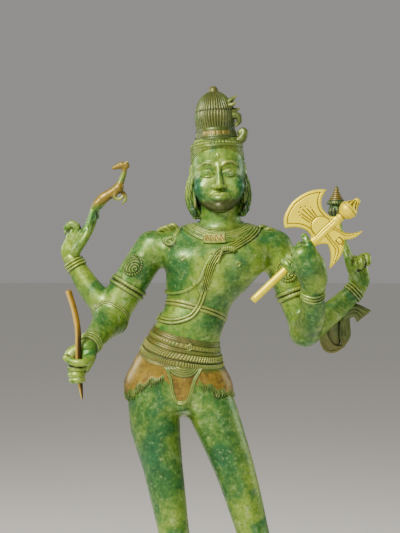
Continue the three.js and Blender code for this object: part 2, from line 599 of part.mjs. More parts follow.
function rod(growth = 0) {
  const radius = ROD_DIAMETER / 2 + growth;
  const tip = growth ? radius : radius / 4;
  return bar(ROD_LINE.map(inRow), [radius, radius, radius, radius, radius, tip]);
}

function rodSocket() {
  const [top, next] = ROD_LINE.map(inRow);
  const inward = next.clone().sub(top).normalize();
  const run = (length) => top.clone().addScaledVector(inward, length);
  return bar([run(-2), run(ROD_SOCKET_DEPTH)], [ROD_DIAMETER / 4, ROD_DIAMETER / 4]);
}

// The axe in its own frame: +X up the haft from the butt, +Y to the blade's side, Z through it.
// Its head is drawn for a reach of 55.5 and scaled about the head's start.
function axeHead() {
  const unit = BLADE_REACH / 55.5;
  const half = HAFT_DIAMETER / 2;
  const shape = new THREE.Shape();
  const p = (x, y) => [HEAD_START + (x - 102) * unit, y * unit];
  const curve = (cx, cy, x, y) => shape.quadraticCurveTo(...p(cx, cy), ...p(x, y));
  shape.moveTo(HEAD_START, -half);
  shape.lineTo(HEAD_START, half);
  curve(111, 6, 110, 15);
  curve(109, 27, 92.5, 37.7);
  curve(97, 52, 122, 55.5);
  curve(150, 55, 163.8, 36.8);
  curve(141, 34, 143, 15);
  curve(143, 7, 150, 4.6);
  shape.lineTo(...p(150, -5));
  curve(142, -7, 141.5, -13);
  curve(143, -23, 161.7, -31.7);
  curve(146, -34, 137, -24);
  shape.lineTo(...p(130.5, -28.5));
  curve(124, -38, 96.3, -37.5);
  curve(114, -27, 117, -13.5);
  curve(113, -7, 104, -half);
  const plate = new THREE.ExtrudeGeometry(shape, { depth: AXE_THICKNESS, bevelEnabled: false, curveSegments: 3 });
  plate.translate(0, 0, -AXE_THICKNESS / 2);
  return solidOf(plate);
}

// The finial's profile, as shares of its length across and along it.
const FINIAL = [[0, -0.1], [0.16, -0.1], [0.22, 0.05], [0.15, 0.12], [0.25, 0.26], [0.4, 0.48], [0.41, 0.56],
  [0.33, 0.6], [0.3, 0.7], [0.1, 0.95], [0, 1]];

function axe() {
  const haft = new THREE.CylinderGeometry(HAFT_DIAMETER / 2, HAFT_DIAMETER / 2, HAFT_LENGTH, 10);
  haft.rotateZ(-Math.PI / 2);
  haft.translate(HAFT_LENGTH / 2, 0, 0);
  const finial = new THREE.LatheGeometry(
    FINIAL.map(([r, x]) => new THREE.Vector2(r * FINIAL_LENGTH, x * FINIAL_LENGTH)), 9);
  finial.rotateZ(-Math.PI / 2);
  finial.translate(HAFT_LENGTH, 0, 0);
  return geometryOf(joined([solidOf(haft), axeHead(), solidOf(finial)]));
}

function placeAxe(object) {
  const blade = at(-HAFT_AHEAD.z, 0, HAFT_AHEAD.x).normalize();
  const through = HAFT_AHEAD.clone().cross(blade).normalize();
  const side = through.clone().cross(HAFT_AHEAD);
  object.setRotationFromMatrix(new THREE.Matrix4().makeBasis(HAFT_AHEAD, side, through));
  object.position.copy(inRow(HAFT_FOOT));
}

// The haft's channel stops short of the axe's head, which is outside the fist.
function haftChannel() {
  const run = (length) => inRow(HAFT_FOOT).addScaledVector(HAFT_AHEAD, length);
  const radius = (HAFT_DIAMETER / 2 + GRIP_GAP) / Math.cos(Math.PI / BAR_SIDES);
  return bar([run(-5), run(HEAD_START + 15)], [radius, radius]);
}

// The pedestal: a moulded foot, a ring of upright lotus petals and a flat top

const PETALS = 10;
const SIDES_PER_PETAL = 4;
const PLINTH_HEIGHT = 20;
const RIM_HEIGHT = 9;

function pedestal() {
  const r = BASE_DIAMETER / 2;
  const neck = PLINTH_HEIGHT + 4;
  const rim = BASE_HEIGHT - RIM_HEIGHT;
  const swell = (share) => lerp(neck, rim, share);
  // Each ring: radius, height, how far the petals swell out, and how far their tips reach up.
  const rings = [
    [r, 0, 0, 0], [r, PLINTH_HEIGHT * 0.6, 0, 0], [r - 6, PLINTH_HEIGHT, 0, 0],
    [r - 18, neck, 0, 0], [r - 22, swell(0.3), 10, 0], [r - 24, swell(0.62), 14, 4], [r - 22, swell(0.82), 10, 7],
    [r - 11, rim, 0, 0], [r - 11, BASE_HEIGHT, 0, 0],
  ];
  const petal = (i) => [0, 0.85, 1, 0.85][i % SIDES_PER_PETAL];
  return geometryOf(skin(rings.map(([radius, z, out, up]) => around(PETALS * SIDES_PER_PETAL, (angle, i) => {
    const reach = radius + out * petal(i);
    return at(reach * Math.sin(angle), -reach * Math.cos(angle), z + (i % SIDES_PER_PETAL === 2 ? up : 0));
  }))));
}

// The figure, cast in one

function figure() {
  const cast = joined([
    torso(), NECK.body(10, NECK.steps(1)), head(), loincloth(),
    strand(THREAD, plainStrap(1.5, 0.4), 10), strand(THIN_THREAD, plainStrap(0.8, 0.3), 7),
    ...[RIGHT_LEG, LEFT_LEG].map((leg) => leg.body(LEG_SIDES, leg.steps(8, [ANKLET]))),
    foot(at(-4.8, 2.4, 0), -8), foot(at(7.2, 2.0, 0), 38),
    ...arms(), ...backHands(), ...rightFrontHand(), ...leftFrontHand(),
    ...collar(), ...shoulderOrnaments(), ...deer(), pot(), ...scarf(),
  ]);
  const sized = cast.scale(ANGULA).translate([0, 0, SOLE_HEIGHT]);
  return geometryOf(sized.subtract(haftChannel()).subtract(rod(GRIP_GAP)));
}

// Materials

const bronze = new THREE.MeshStandardMaterial({ color: 0x5f8a3c, roughness: 0.38, metalness: 0.55 });
const brass = new THREE.MeshStandardMaterial({ color: 0xd8bf62, roughness: 0.34, metalness: 0.9 });
const darkBrass = new THREE.MeshStandardMaterial({ color: 0x9a7430, roughness: 0.4, metalness: 0.85 });
const darkBronze = new THREE.MeshStandardMaterial({ color: 0x47662f, roughness: 0.45, metalness: 0.55 });

function piece(name, geometry, material) {
  const mesh = new THREE.Mesh(geometry, material);
  mesh.name = name;
  return mesh;
}

const group = new THREE.Group();
const axePiece = piece('axe', axe(), brass);
placeAxe(axePiece);
group.add(
  piece('lotus_pedestal', pedestal(), darkBronze),
  piece('figure', figure(), bronze),
  axePiece,
  piece('curved_rod', geometryOf(rod().subtract(rodSocket())), darkBrass),
);

export default group;
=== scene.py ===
# A standing four-armed figure, lost-wax cast in bronze with a green patina, that grips a loose
# brass axe and a loose curved brass rod, on a low lotus pedestal. The figure is counted out in
# angulas, the image-maker's module, from the middle of the pedestal's top.
import math

import bpy
import numpy as np
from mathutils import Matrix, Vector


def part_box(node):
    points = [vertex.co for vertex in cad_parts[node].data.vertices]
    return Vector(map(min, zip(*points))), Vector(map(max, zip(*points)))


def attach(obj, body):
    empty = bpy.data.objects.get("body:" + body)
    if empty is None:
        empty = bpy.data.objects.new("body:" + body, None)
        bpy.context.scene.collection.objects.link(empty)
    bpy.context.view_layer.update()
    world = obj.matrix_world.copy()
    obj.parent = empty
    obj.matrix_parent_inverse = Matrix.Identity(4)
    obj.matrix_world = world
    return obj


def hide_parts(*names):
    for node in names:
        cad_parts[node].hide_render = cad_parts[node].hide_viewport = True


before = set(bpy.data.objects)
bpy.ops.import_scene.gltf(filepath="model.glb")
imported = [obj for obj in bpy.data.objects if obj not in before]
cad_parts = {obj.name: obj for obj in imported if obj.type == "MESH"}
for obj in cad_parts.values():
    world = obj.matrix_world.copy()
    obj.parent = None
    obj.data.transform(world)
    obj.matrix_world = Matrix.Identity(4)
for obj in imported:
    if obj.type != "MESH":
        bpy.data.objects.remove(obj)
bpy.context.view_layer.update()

import openvdb
from mathutils import Euler, Vector


# The view, the floor and the light
# The camera stands level with the figure's chest, a little to its right, and sees it from the
# thighs up. The floor is pale and plain, and large soft lamps stand in front and at both sides.
ANGULA = 0.840 / 126.4
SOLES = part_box("figure")[0].z
CAMERA_PLACE = (-3.0, -225.0, 90.4)
FOCAL_PIXELS = 1125
FRAME_PIXELS = 533


def placed(points):
    """Points in angulas turned to metres in the part's frame."""
    return np.asarray(points, float) * ANGULA + (0, 0, SOLES)


def linear(colour):
    """An sRGB hex colour as linear RGBA."""
    parts = [int(colour[i:i + 2], 16) / 255 for i in (1, 3, 5)]
    return tuple(p / 12.92 if p <= 0.04045 else ((p + 0.055) / 1.055) ** 2.4 for p in parts) + (1.0,)


def add(tree, kind, inputs=(), **settings):
    """A node with its settings, and its inputs set to values or linked to other nodes' outputs."""
    node = tree.nodes.new(kind)
    for name, value in settings.items():
        setattr(node, name, value)
    for socket, value in dict(inputs).items():
        if isinstance(value, bpy.types.NodeSocket):
            tree.links.new(value, node.inputs[socket])
        else:
            node.inputs[socket].default_value = value
    return node


def bare_tree(owner):
    """The node tree of a material or a world, emptied."""
    owner.use_nodes = True
    owner.node_tree.nodes.clear()
    return owner.node_tree


def object_of(name, data):
    """A new object in the scene from a mesh, a lamp or a camera."""
    item = bpy.data.objects.new(name, data)
    bpy.context.scene.collection.objects.link(item)
    return item


camera = object_of("camera", bpy.data.cameras.new("camera"))
camera.location = placed(CAMERA_PLACE)
camera.rotation_euler = (math.pi / 2, 0, 0)
camera.data.lens = camera.data.sensor_width * FOCAL_PIXELS / FRAME_PIXELS
bpy.context.scene.camera = camera


def even_turns(count):
    """Angles spread evenly once round, in radians."""
    return np.linspace(0, 2 * math.pi, count, endpoint=False)


# Trowelled plaster, pale and matt, so that the floor takes soft shadows and shows no gloss.
FLOOR_RADIUS, FLOOR_SIDES = 45.0, 96
plaster = bpy.data.materials.new("pale_plaster")
tree = bare_tree(plaster)
matt = add(tree, "ShaderNodeBsdfPrincipled", {
    "Base Color": linear("#f1efea"), "Roughness": 0.9, "Specular IOR Level": 0.2})
add(tree, "ShaderNodeOutputMaterial", {"Surface": matt.outputs[0]})

floor_mesh = bpy.data.meshes.new("floor")
floor_rim = [(FLOOR_RADIUS * math.cos(a), FLOOR_RADIUS * math.sin(a), 0) for a in even_turns(FLOOR_SIDES)]
floor_mesh.from_pydata(floor_rim, [], [list(range(FLOOR_SIDES))])
floor_mesh.materials.append(plaster)
object_of("floor", floor_mesh)

surroundings = bpy.data.worlds.new("pale_room")
tree = bare_tree(surroundings)
room = add(tree, "ShaderNodeBackground", {"Color": linear("#e6e4e0"), "Strength": 0.38})
add(tree, "ShaderNodeOutputWorld", {"Surface": room.outputs[0]})
bpy.context.scene.world = surroundings

# Each lamp: place, power in watts, width, colour; all face the figure's chest.
LAMPS = {
    "key": ((-0.85, -1.25, 1.9), 76.0, 0.7, "#fff6e6"),
    "front": ((0.35, -1.9, 0.75), 5.0, 0.9, "#fff8ec"),
    "left_edge": ((-1.5, 0.5, 1.1), 12.0, 0.7, "#f2f6ff"),
    "right_edge": ((1.5, 0.6, 1.0), 7.0, 0.7, "#f2f6ff"),
}
CHEST = placed((0, 0, 88))
for name, (place, power, width, colour) in LAMPS.items():
    lamp = object_of(name, bpy.data.lights.new(name, "AREA"))
    lamp.data.energy = power
    lamp.data.size = width
    lamp.data.color = linear(colour)[:3]
    lamp.location = place
    lamp.rotation_euler = (lamp.location - Vector(CHEST)).to_track_quat("Z", "Y").to_euler()


# The bronze
# Tin bronze, cast from wax, chased, and given a green patina with acids and heat, then waxed.
# The patina lies in soft blotches from yellow-green to emerald, turns brown-black in the hollows
# where polish gathers, and is rubbed to dull gold on ridges and on the hide round the hips.
PATINA_CLOUD_MM = 90
PATINA_PATCH_MM = 34
PATINA_BLOTCH_MM = 12
PATINA_FLECK_MM = 4.5
CASTING_GRAIN_MM = 2.2  # real grain is about 0.3 mm; drawn coarser so that it shows


def coloured_metal(name, patterns, ground, coats, bump, **shader):
    """A metal coloured in coats over a ground. Patterns are noises: size in mm, detail, roughness
    and distortion. A coat is a pattern or mark, where it starts and is full, how strong it is, its
    colour, and a mark that it keeps within."""
    material = bpy.data.materials.new(name)
    tree = bare_tree(material)
    place = add(tree, "ShaderNodeTexCoord").outputs["Object"]
    source = {}
    for pattern, (size_mm, detail, rough, distortion) in patterns.items():
        source[pattern] = add(tree, "ShaderNodeTexNoise", {
            "Vector": place, "Scale": 1000 / size_mm, "Detail": detail, "Roughness": rough,
            "Distortion": distortion}).outputs["Fac"]
    for mark in {coat[i] for coat in coats for i in (0, 5) if coat[i]} - set(patterns):
        source[mark] = add(tree, "ShaderNodeAttribute", attribute_name=mark).outputs["Fac"]
    colour = linear(ground)
    for pattern, start, full, strength, coat, within in coats:
        share = add(tree, "ShaderNodeMapRange", {
            "Value": source[pattern], "From Min": start, "From Max": full, "To Max": strength},
            interpolation_type="SMOOTHSTEP").outputs[0]
        if within:
            share = add(tree, "ShaderNodeMath", {0: share, 1: source[within]}, operation="MULTIPLY").outputs[0]
        colour = add(tree, "ShaderNodeMix", {0: share, 6: colour, 7: linear(coat)}, data_type="RGBA").outputs[2]
    pattern, strength, distance = bump
    surface = add(tree, "ShaderNodeBump", {
        "Height": source[pattern], "Strength": strength, "Distance": distance}).outputs[0]
    pattern, start, full, smooth, dull = shader.pop("roughness")
    roughness = add(tree, "ShaderNodeMapRange", {
        "Value": source[pattern], "From Min": start, "From Max": full, "To Min": smooth, "To Max": dull}).outputs[0]
    finish = add(tree, "ShaderNodeBsdfPrincipled", {
        "Base Color": colour, "Roughness": roughness, "Normal": surface, **shader})
    add(tree, "ShaderNodeOutputMaterial", {"Surface": finish.outputs[0]})
    return material


def patina(name, pale, leaf, deep, emerald, chalk, straw, rubbed, hollow):
    """Waxed bronze: soft gloss over a blotched patina, with bare metal where it is rubbed."""
    return coloured_metal(name, {
        "cloud": (PATINA_CLOUD_MM, 2, 0.5, 0.4), "patch": (PATINA_PATCH_MM, 3, 0.55, 0.9),
        "blotch": (PATINA_BLOTCH_MM, 5, 0.62, 0.6), "fleck": (PATINA_FLECK_MM, 4, 0.65, 0.3),
        "grain": (CASTING_GRAIN_MM, 3, 0.6, 0)}, pale, [
        ("patch", 0.42, 0.62, 0.75, leaf, None), ("cloud", 0.48, 0.68, 0.5, leaf, None),
        ("blotch", 0.48, 0.64, 0.6, leaf, None), ("cloud", 0.56, 0.74, 0.45, deep, None),
        ("cloud", 0.48, 0.38, 0.65, straw, None), ("blotch", 0.46, 0.33, 0.65, chalk, None),
        ("patch", 0.55, 0.70, 0.7, emerald, None),
        # The stain mark lays on deep green, both as patina and as painted shade.
        ("stain", 0.0, 1.0, 0.75, leaf, None), ("patch", 0.32, 0.54, 0.8, emerald, "stain"),
        ("blotch", 0.40, 0.62, 0.7, deep, "stain"), ("stain", 0.75, 1.0, 0.6, emerald, None),
        ("fleck", 0.52, 0.66, 0.5, deep, None), ("fleck", 0.45, 0.34, 0.36, chalk, None),
        ("tan", 0.0, 1.0, 0.82, "#635823", None), ("blotch", 0.46, 0.68, 0.4, leaf, "tan"),
        ("hide", 0.0, 0.8, 1.0, "#87711f", None), ("blotch", 0.44, 0.66, 0.85, "#574612", "hide"),
        ("patch", 0.55, 0.72, 0.5, "#5f5c1c", "hide"), ("fleck", 0.46, 0.30, 0.5, "#bba148", "hide"),
        ("relief", 0.15, 0.95, 0.5, rubbed, None), ("relief", -0.06, -0.75, 0.94, hollow, None),
        ("grain", 0.60, 0.76, 0.2, rubbed, None), ("grain", 0.40, 0.26, 0.35, hollow, None)],
        ("blotch", 0.25, 0.0008), roughness=("blotch", 0.3, 0.7, 0.34, 0.52), Metallic=0.4,
        **{"Coat Weight": 0.15, "Coat Roughness": 0.3})


green_bronze = patina("green_patinated_bronze", pale="#7b9a34", leaf="#3b7520", deep="#153f18", emerald="#0f5c33",
                      chalk="#9fb673", straw="#8da82c", rubbed="#a3a85c", hollow="#281f0b")
dark_bronze = patina("dark_patinated_bronze", pale="#4a5f22", leaf="#2b5119", deep="#123414", emerald="#0d4025",
                     chalk="#5f7335", straw="#555a1a", rubbed="#6b713a", hollow="#17110a")


def net(rows, columns, rows_closed, columns_closed):
    """The four-cornered faces of a net of points."""
    r = np.arange(rows if rows_closed else rows - 1)[:, None]
    c = np.arange(columns if columns_closed else columns - 1)[None, :]
    r2, c2 = (r + 1) % rows, (c + 1) % columns
    return np.stack([r * columns + c, r2 * columns + c, r2 * columns + c2, r * columns + c2], -1).reshape(-1, 4)


def cast(name, points, faces, material=green_bronze, slot="patinated_bronze", **marks):
    """A cast piece from points in angulas. Marks are values kept at each point for its colour."""
    points = np.asarray(points, float)
    faces = np.asarray(faces)
    corner = points[faces]
    flux = np.einsum("ij,ij->i", corner[:, 0], np.cross(corner[:, 1], corner[:, 2]))
    flux += np.einsum("ij,ij->i", corner[:, 0], np.cross(corner[:, 2], corner[:, 3]))
    if flux.sum() < 0:
        faces = faces[:, ::-1]
    mesh = bpy.data.meshes.new(name)
    mesh.vertices.add(len(points))
    mesh.vertices.foreach_set("co", placed(points).astype(np.float32).ravel())
    mesh.loops.add(faces.size)
    mesh.loops.foreach_set("vertex_index", faces.astype(np.int32).ravel())
    mesh.polygons.add(len(faces))
    mesh.polygons.foreach_set("loop_start", np.arange(0, faces.size, 4, dtype=np.int32))
    mesh.update(calc_edges=True)
    mesh.validate()
    mesh.shade_smooth()
    for mark, values in marks.items():
        layer = mesh.attributes.new(mark, "FLOAT", "POINT")
        layer.data.foreach_set("value", np.clip(values, -1, 1).astype(np.float32).ravel())
    mesh.materials.append(material)
    piece = object_of(name, mesh)
    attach(piece, "root")
    return piece


# Lotus pedestal
# The low round base that the feet are fixed on, a hollow casting of its own in the same bronze.
# Moulded foot, a ring of upright petals with smaller ones between, and a beaded rim.
MM = 0.001 / ANGULA  # one millimetre in angulas
PETALS, RIM_BEADS, PEDESTAL_SIDES = 10, 96, 480
# In mm: the rim's radius, its beads' height above the ground and radius, and the petals' ends
RIM_RADIUS, BEAD_LEVEL, BEAD_RADIUS = 110, 73.6, 3.1
PETAL_LOW, PETAL_HIGH = 24.0, 69.0
CLOSING_RADIUS = 0.02  # of the small hole that a closed form's last ring leaves in its middle
CAPPED = ((0, 0), (1, 1))  # room in a net for that ring at either end
# Radius in mm at each height in mm, from the ground to the top
PEDESTAL_PROFILE = [
    (0, 121.0), (1.0, 121.9), (10, 122.0), (13.5, 121.0), (15.0, 118.2), (16.0, 118.0), (18.0, 117.4),
    (20.5, 114.0), (22.0, 109.0), (24.0, 104.5), (30, 102), (38, 100), (46, 98.5), (54, 98), (60, 100),
    (66, 105.5), (69, 109.0), (70.0, 109.6), (71.0, 108.6), (76.5, 108.6), (77.4, 110.0), (78.0, 109.0),
]


def ramp(value, start, full):
    """How far a value has come from start to full, as a share."""
    return np.clip((value - start) / (full - start), 0, 1)


def dome(distance, radius):
    """The height of a round bump, as a share, at a distance from its middle."""
    return np.sqrt(np.clip(1 - (distance / radius) ** 2, 0, 1))


def nearest(values, pitch):
    """Distance of each value from the nearest whole step of the pitch."""
    return values - pitch * np.round(values / pitch)


def petal(turn, share, width, point):
    """A petal's swell at a turn from its middle and a share of its height, raised along its rib."""
    edge = width * np.sqrt(1 - np.clip(share / point, 0, 1) ** 2.6)
    inside = np.clip(1 - np.abs(turn) / np.maximum(edge, 1e-3), 0, 1)
    rim = np.clip(inside / 0.16, 0, 1) ** 0.5
    rib = 0.14 * dome(turn, 0.035 * width)
    return rim * (0.72 + 0.28 * np.sin(math.pi * np.clip(inside, 0, 0.5)) + rib)


heights = np.unique(np.concatenate([np.array(PEDESTAL_PROFILE)[:, 0], np.arange(24, 70, 1.2)]))
turn, height = np.meshgrid(even_turns(PEDESTAL_SIDES), heights, indexing="ij")
share = ramp(height, PETAL_LOW, PETAL_HIGH)
pitch = 2 * math.pi / PETALS
front_swell = petal(nearest(turn, pitch), share, 0.47 * pitch, 1.0)
back_swell = petal(nearest(turn - pitch / 2, pitch), share, 0.3 * pitch, 1.08)
petal_reach = 11.5 * np.sin(math.pi * np.clip(0.16 + 0.66 * share, 0, 1)) * (share > 0) * (share < 1)
swell = np.maximum(front_swell, 0.55 * back_swell) * petal_reach
from_bead = np.hypot(nearest(turn, 2 * math.pi / RIM_BEADS) * RIM_RADIUS, height - BEAD_LEVEL)
bead = 2.6 * dome(from_bead, BEAD_RADIUS) * (height > 70)
radius = np.interp(heights, *np.array(PEDESTAL_PROFILE).T) + swell + np.minimum(bead, 1.6)
relief = np.pad(np.clip(swell / 9 - 0.45 + bead / 2, -1, 1) * ((height > 22) & (height < 77)), CAPPED)
turn, height = (np.pad(values, CAPPED, mode="edge") for values in (turn, height))
radius = np.pad(radius, CAPPED, constant_values=CLOSING_RADIUS)
pedestal_points = np.stack([radius * np.sin(turn), -radius * np.cos(turn), height], -1).reshape(-1, 3)
pedestal = cast("pedestal", pedestal_points * MM - (0, 0, SOLES / ANGULA), net(*turn.shape, True, False),
                dark_bronze, "base_bronze", relief=relief)
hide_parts("lotus_pedestal")


# The figure's body
# Trunk, legs and arms are one hollow casting with a smooth chased skin, and hands, head and
# jewellery join it under bracelets and collar. The weight is on its right leg, the left is bent.
def unit(vectors):
    """Vectors with the same directions and length 1."""
    vectors = np.asarray(vectors, float)
    return vectors / np.linalg.norm(vectors, axis=-1, keepdims=True)


class Wax:
    """A block of distances to a modelled surface, below zero inside, on an even grid."""
    FAR = 4.0  # the distance that stands where no wax is near
    PROBE = 0.45  # how far off the surface the wax is felt for hollows and ridges

    def __init__(self, low, high, step):
        self.low = np.array(low, float)
        self.step = step
        self.count = np.ceil((np.array(high, float) - self.low) / step).astype(int) + 1
        self.field = np.full(self.count, self.FAR, np.float32)

    def patch(self, low, high):
        """The part of the grid between two corners, and its coordinates."""
        first = np.clip(np.floor((np.asarray(low) - self.low) / self.step).astype(int), 0, self.count)
        last = np.clip(np.ceil((np.asarray(high) - self.low) / self.step).astype(int) + 1, 0, self.count)
        axes = [self.low[i] + self.step * np.arange(first[i], last[i]) for i in range(3)]
        where = tuple(slice(a, b) for a, b in zip(first, last))
        return where, np.meshgrid(*axes, indexing="ij", sparse=True)

    def merge(self, where, distance, blend, cut=False):
        """Add a form to a part of the grid, or cut it out, with a rounded join as wide as the blend."""
        old = self.field[where]
        new = distance.astype(np.float32)
        if cut:
            old, new = -old, new
        near = np.clip(1 - np.abs(old - new) / blend, 0, 1) if blend else 0
        both = np.minimum(old, new) - near * near * blend / 4
        self.field[where] = -both if cut else both

    def ball(self, centre, radii, blend=0.5, turn=(0, 0, 0), cut=False):
        """An ellipsoid, turned about X, Y and Z in degrees."""
        centre, radii = np.array(centre, float), np.array(radii, float)
        reach = radii.max() + blend + 3 * self.step
        where, (x, y, z) = self.patch(centre - reach, centre + reach)
        m = np.array(Euler([math.radians(t) for t in turn]).to_matrix())
        d = [x - centre[0], y - centre[1], z - centre[2]]
        q = [(m[0, i] * d[0] + m[1, i] * d[1] + m[2, i] * d[2]) / radii[i] for i in range(3)]
        k0 = np.sqrt(q[0] ** 2 + q[1] ** 2 + q[2] ** 2)
        k1 = np.sqrt((q[0] / radii[0]) ** 2 + (q[1] / radii[1]) ** 2 + (q[2] / radii[2]) ** 2)
        self.merge(where, k0 * (k0 - 1) / np.maximum(k1, 1e-4), blend, cut)

    def limb(self, points, radii, blend=0.5, flat=1.0, toward=(0, 1, 0), pieces=None, cut=False):
        """A round or flattened limb along a curve through points, with a radius at each."""
        points = np.array(points, float)
        count = pieces or 5 * (len(points) - 1)
        path = curve(points, count + 1)
        size = np.interp(np.linspace(0, 1, count + 1), np.linspace(0, 1, len(radii)), radii)
        reach = size.max() * max(flat, 1) + blend + 3 * self.step
        where, (x, y, z) = self.patch(path.min(0) - reach, path.max(0) + reach)
        toward = np.array(toward, float)
        best = None
        for a, b, ra, rb in zip(path[:-1], path[1:], size[:-1], size[1:]):
            way = b - a
            length = np.linalg.norm(way)
            d = [x - a[0], y - a[1], z - a[2]]
            t = np.clip((d[0] * way[0] + d[1] * way[1] + d[2] * way[2]) / length ** 2, 0, 1)
            d = [d[i] - t * way[i] for i in range(3)]
            square = d[0] ** 2 + d[1] ** 2 + d[2] ** 2
            if flat != 1.0:
                thick = unit(toward - way * (toward @ way) / length ** 2)
                through = d[0] * thick[0] + d[1] * thick[1] + d[2] * thick[2]
                square = square + through ** 2 * (1 / flat ** 2 - 1)
            distance = (np.sqrt(square) - (ra + (rb - ra) * t)) * min(1.0, flat)
            best = distance if best is None else np.minimum(best, distance)
        self.merge(where, best, blend, cut)

    def sections(self, form, low, high, squareness, foot, top):
        """A form of rounded sections, from smooth rows as round_section takes them."""
        where, (x, y, z) = self.patch(low, high)
        middle, depth, half, front, back = form(z)
        dx, dy = x - middle, y - depth
        share = (np.abs(dx / half) ** squareness
                 + np.abs(dy / np.where(dy < 0, front, back)) ** squareness) ** (1 / squareness)
        distance = np.hypot(dx, dy) * (1 - 1 / np.maximum(share, 0.05))
        distance = np.maximum(distance, np.maximum(z - top, foot - z))
        slope = np.sqrt(sum(g ** 2 for g in np.gradient(distance, self.step)))
        self.merge(where, distance / np.maximum(slope, 1), 0)

    def value(self, points):
        """The distance at any points, from the eight grid points round each."""
        g = np.clip((np.asarray(points) - self.low) / self.step, 0, self.count - 1.001)
        first = g.astype(int)
        part = (g - first).astype(np.float32)
        total = 0
        for corner in np.ndindex(2, 2, 2):
            weight = np.prod([part[..., i] if far else 1 - part[..., i] for i, far in enumerate(corner)], axis=0)
            total = total + weight * self.field[tuple(first[..., i] + far for i, far in enumerate(corner))]
        return total

    def normal(self, points, reach=None):
        """The way straight out of the wax at each point."""
        reach = reach or self.step
        points = np.asarray(points, float)
        slope = np.stack([self.value(points + reach * e) - self.value(points - reach * e) for e in np.eye(3)], -1)
        return slope / np.maximum(np.linalg.norm(slope, axis=-1, keepdims=True), 1e-6)

    def settle(self, points, rounds=8):
        """Points near the surface, moved onto it."""
        points = np.array(points, float)
        for _ in range(rounds):
            points -= self.normal(points) * np.clip(self.value(points), -0.8, 0.8)[..., None]
        return points

    def skin(self):
        """The surface as points and four-cornered faces, with how hollow or ridged it is."""
        grid = openvdb.FloatGrid()
        grid.background = self.FAR
        grid.copyFromArray(self.field)
        points, faces = grid.convertToQuads(0.0)
        points = points * self.step + self.low
        normal = self.normal(points)
        hollow = self.value(points + self.PROBE * normal) / self.PROBE - 1
        ridge = self.value(points - self.PROBE * normal) / self.PROBE + 1
        return points, faces, np.clip(1.5 * (hollow + ridge), -1, 1)

    def cast(self, name, marks=None, place=None, **finish):
        """The surface cast as a piece. Marks are a function of its points and its relief."""
        points, faces, relief = self.skin()
        kept = {"relief": relief, **(marks(points, relief) if marks else {})}
        return cast(name, place(points) if place else points, faces, **finish, **kept)


def curve(points, count, closed=False):
    """Evenly shared places on a smooth curve through points, as the part's limbs use."""
    p = np.array(points, float)
    if closed:
        p = np.concatenate([p[-1:], p, p[:2]])
    else:
        p = np.concatenate([2 * p[:1] - p[1:2], p, 2 * p[-1:] - p[-2:-1]])
    spans = len(p) - 3
    u = np.linspace(0, spans, count, endpoint=not closed)
    k = np.minimum(u.astype(int), spans - 1)
    t = (u - k)[:, None]
    p0, p1, p2, p3 = (p[k + i] for i in range(4))
    gap = [np.maximum(np.linalg.norm(b - a, axis=1), 1e-6)[:, None] ** 0.5
           for a, b in ((p0, p1), (p1, p2), (p2, p3))]
    m1 = ((p1 - p0) / gap[0] - (p2 - p0) / (gap[0] + gap[1]) + (p2 - p1) / gap[1]) * gap[1]
    m2 = ((p2 - p1) / gap[1] - (p3 - p1) / (gap[1] + gap[2]) + (p3 - p2) / gap[2]) * gap[1]
    return ((2 * t ** 3 - 3 * t ** 2 + 1) * p1 + (t ** 3 - 2 * t ** 2 + t) * m1
            + (3 * t ** 2 - 2 * t ** 3) * p2 + (t ** 3 - t ** 2) * m2)


def smooth_rows(rows):
    """A smooth function of the first column that gives the others."""
    table = curve(rows, 60 * len(rows))
    return lambda z: [np.interp(z, table[:, 0], table[:, i]) for i in range(1, table.shape[1])]


# Height, middle across, middle in depth, half width, reach forward, reach back
TRUNK = smooth_rows([
    (61.0, -6.7, 0.6, 2.4, 1.6, 3.0), (62.8, -7.1, 0.5, 7.8, 4.4, 6.0), (66.4, -7.3, 0.4, 10.4, 5.7, 6.8),
    (70.8, -7.5, 0.2, 8.9, 5.6, 5.9), (75.0, -6.6, 0.0, 7.4, 5.3, 4.8), (79.0, -4.95, 0.0, 6.9, 5.2, 4.5),
    (83.0, -3.15, 0.0, 6.65, 5.3, 4.7), (86.6, -1.4, 0.0, 8.4, 6.2, 5.6), (90.0, -0.1, 0.0, 9.8, 6.7, 6.2),
    (93.4, 0.1, 0.2, 11.2, 6.2, 5.9), (96.0, 0.3, 0.5, 11.0, 4.8, 4.9), (97.8, 0.6, 0.6, 9.0, 3.5, 3.7),
    (98.8, 0.9, 0.7, 5.6, 2.6, 2.8),
])
SQUARENESS = 2.25
RIGHT_LEG = ([(-12.6, 0.4, 66), (-11.9, 0.2, 58.2), (-10.4, -0.4, 50.4), (-8.6, -1.0, 40), (-7.7, -0.9, 34.6),
              (-6.5, 0.6, 26), (-5.4, 1.8, 14), (-4.8, 2.4, 4.2)],
             [5.0, 4.95, 3.95, 3.2, 2.9, 3.05, 2.0, 1.75])
LEFT_LEG = ([(-2.2, 0.3, 66), (0.1, -0.4, 60.2), (3.8, -1.7, 50.4), (6.9, -3.6, 40), (8.1, -4.2, 35.2),
             (8.3, -2.2, 26), (7.6, 0.6, 14), (7.2, 2.0, 4.2)],
            [4.9, 4.75, 3.95, 3.25, 2.95, 3.05, 2.0, 1.75])
RIGHT_UPPER_ARM = ([(-12.6, 0.8, 94.2), (-16.7, 0.8, 87.6), (-20.6, 0.5, 81.0)], [3.4, 3.5, 3.4])
LEFT_UPPER_ARM = ([(12.1, 0.8, 94.3), (15.0, 0.4, 86.6), (18.0, -0.6, 78.2)], [3.4, 3.2, 2.85])
RIGHT_BACK_FOREARM = ([(-21.6, 0.6, 81.8), (-25.3, 1.4, 86.2), (-28.9, 2, 92.0)], [2.7, 2.35, 1.7])
RIGHT_FRONT_FOREARM = ([(-20.6, 0.3, 80.4), (-21.9, -4, 78.5), (-24.6, -10.7, 74.8)], [3.2, 2.7, 1.7])
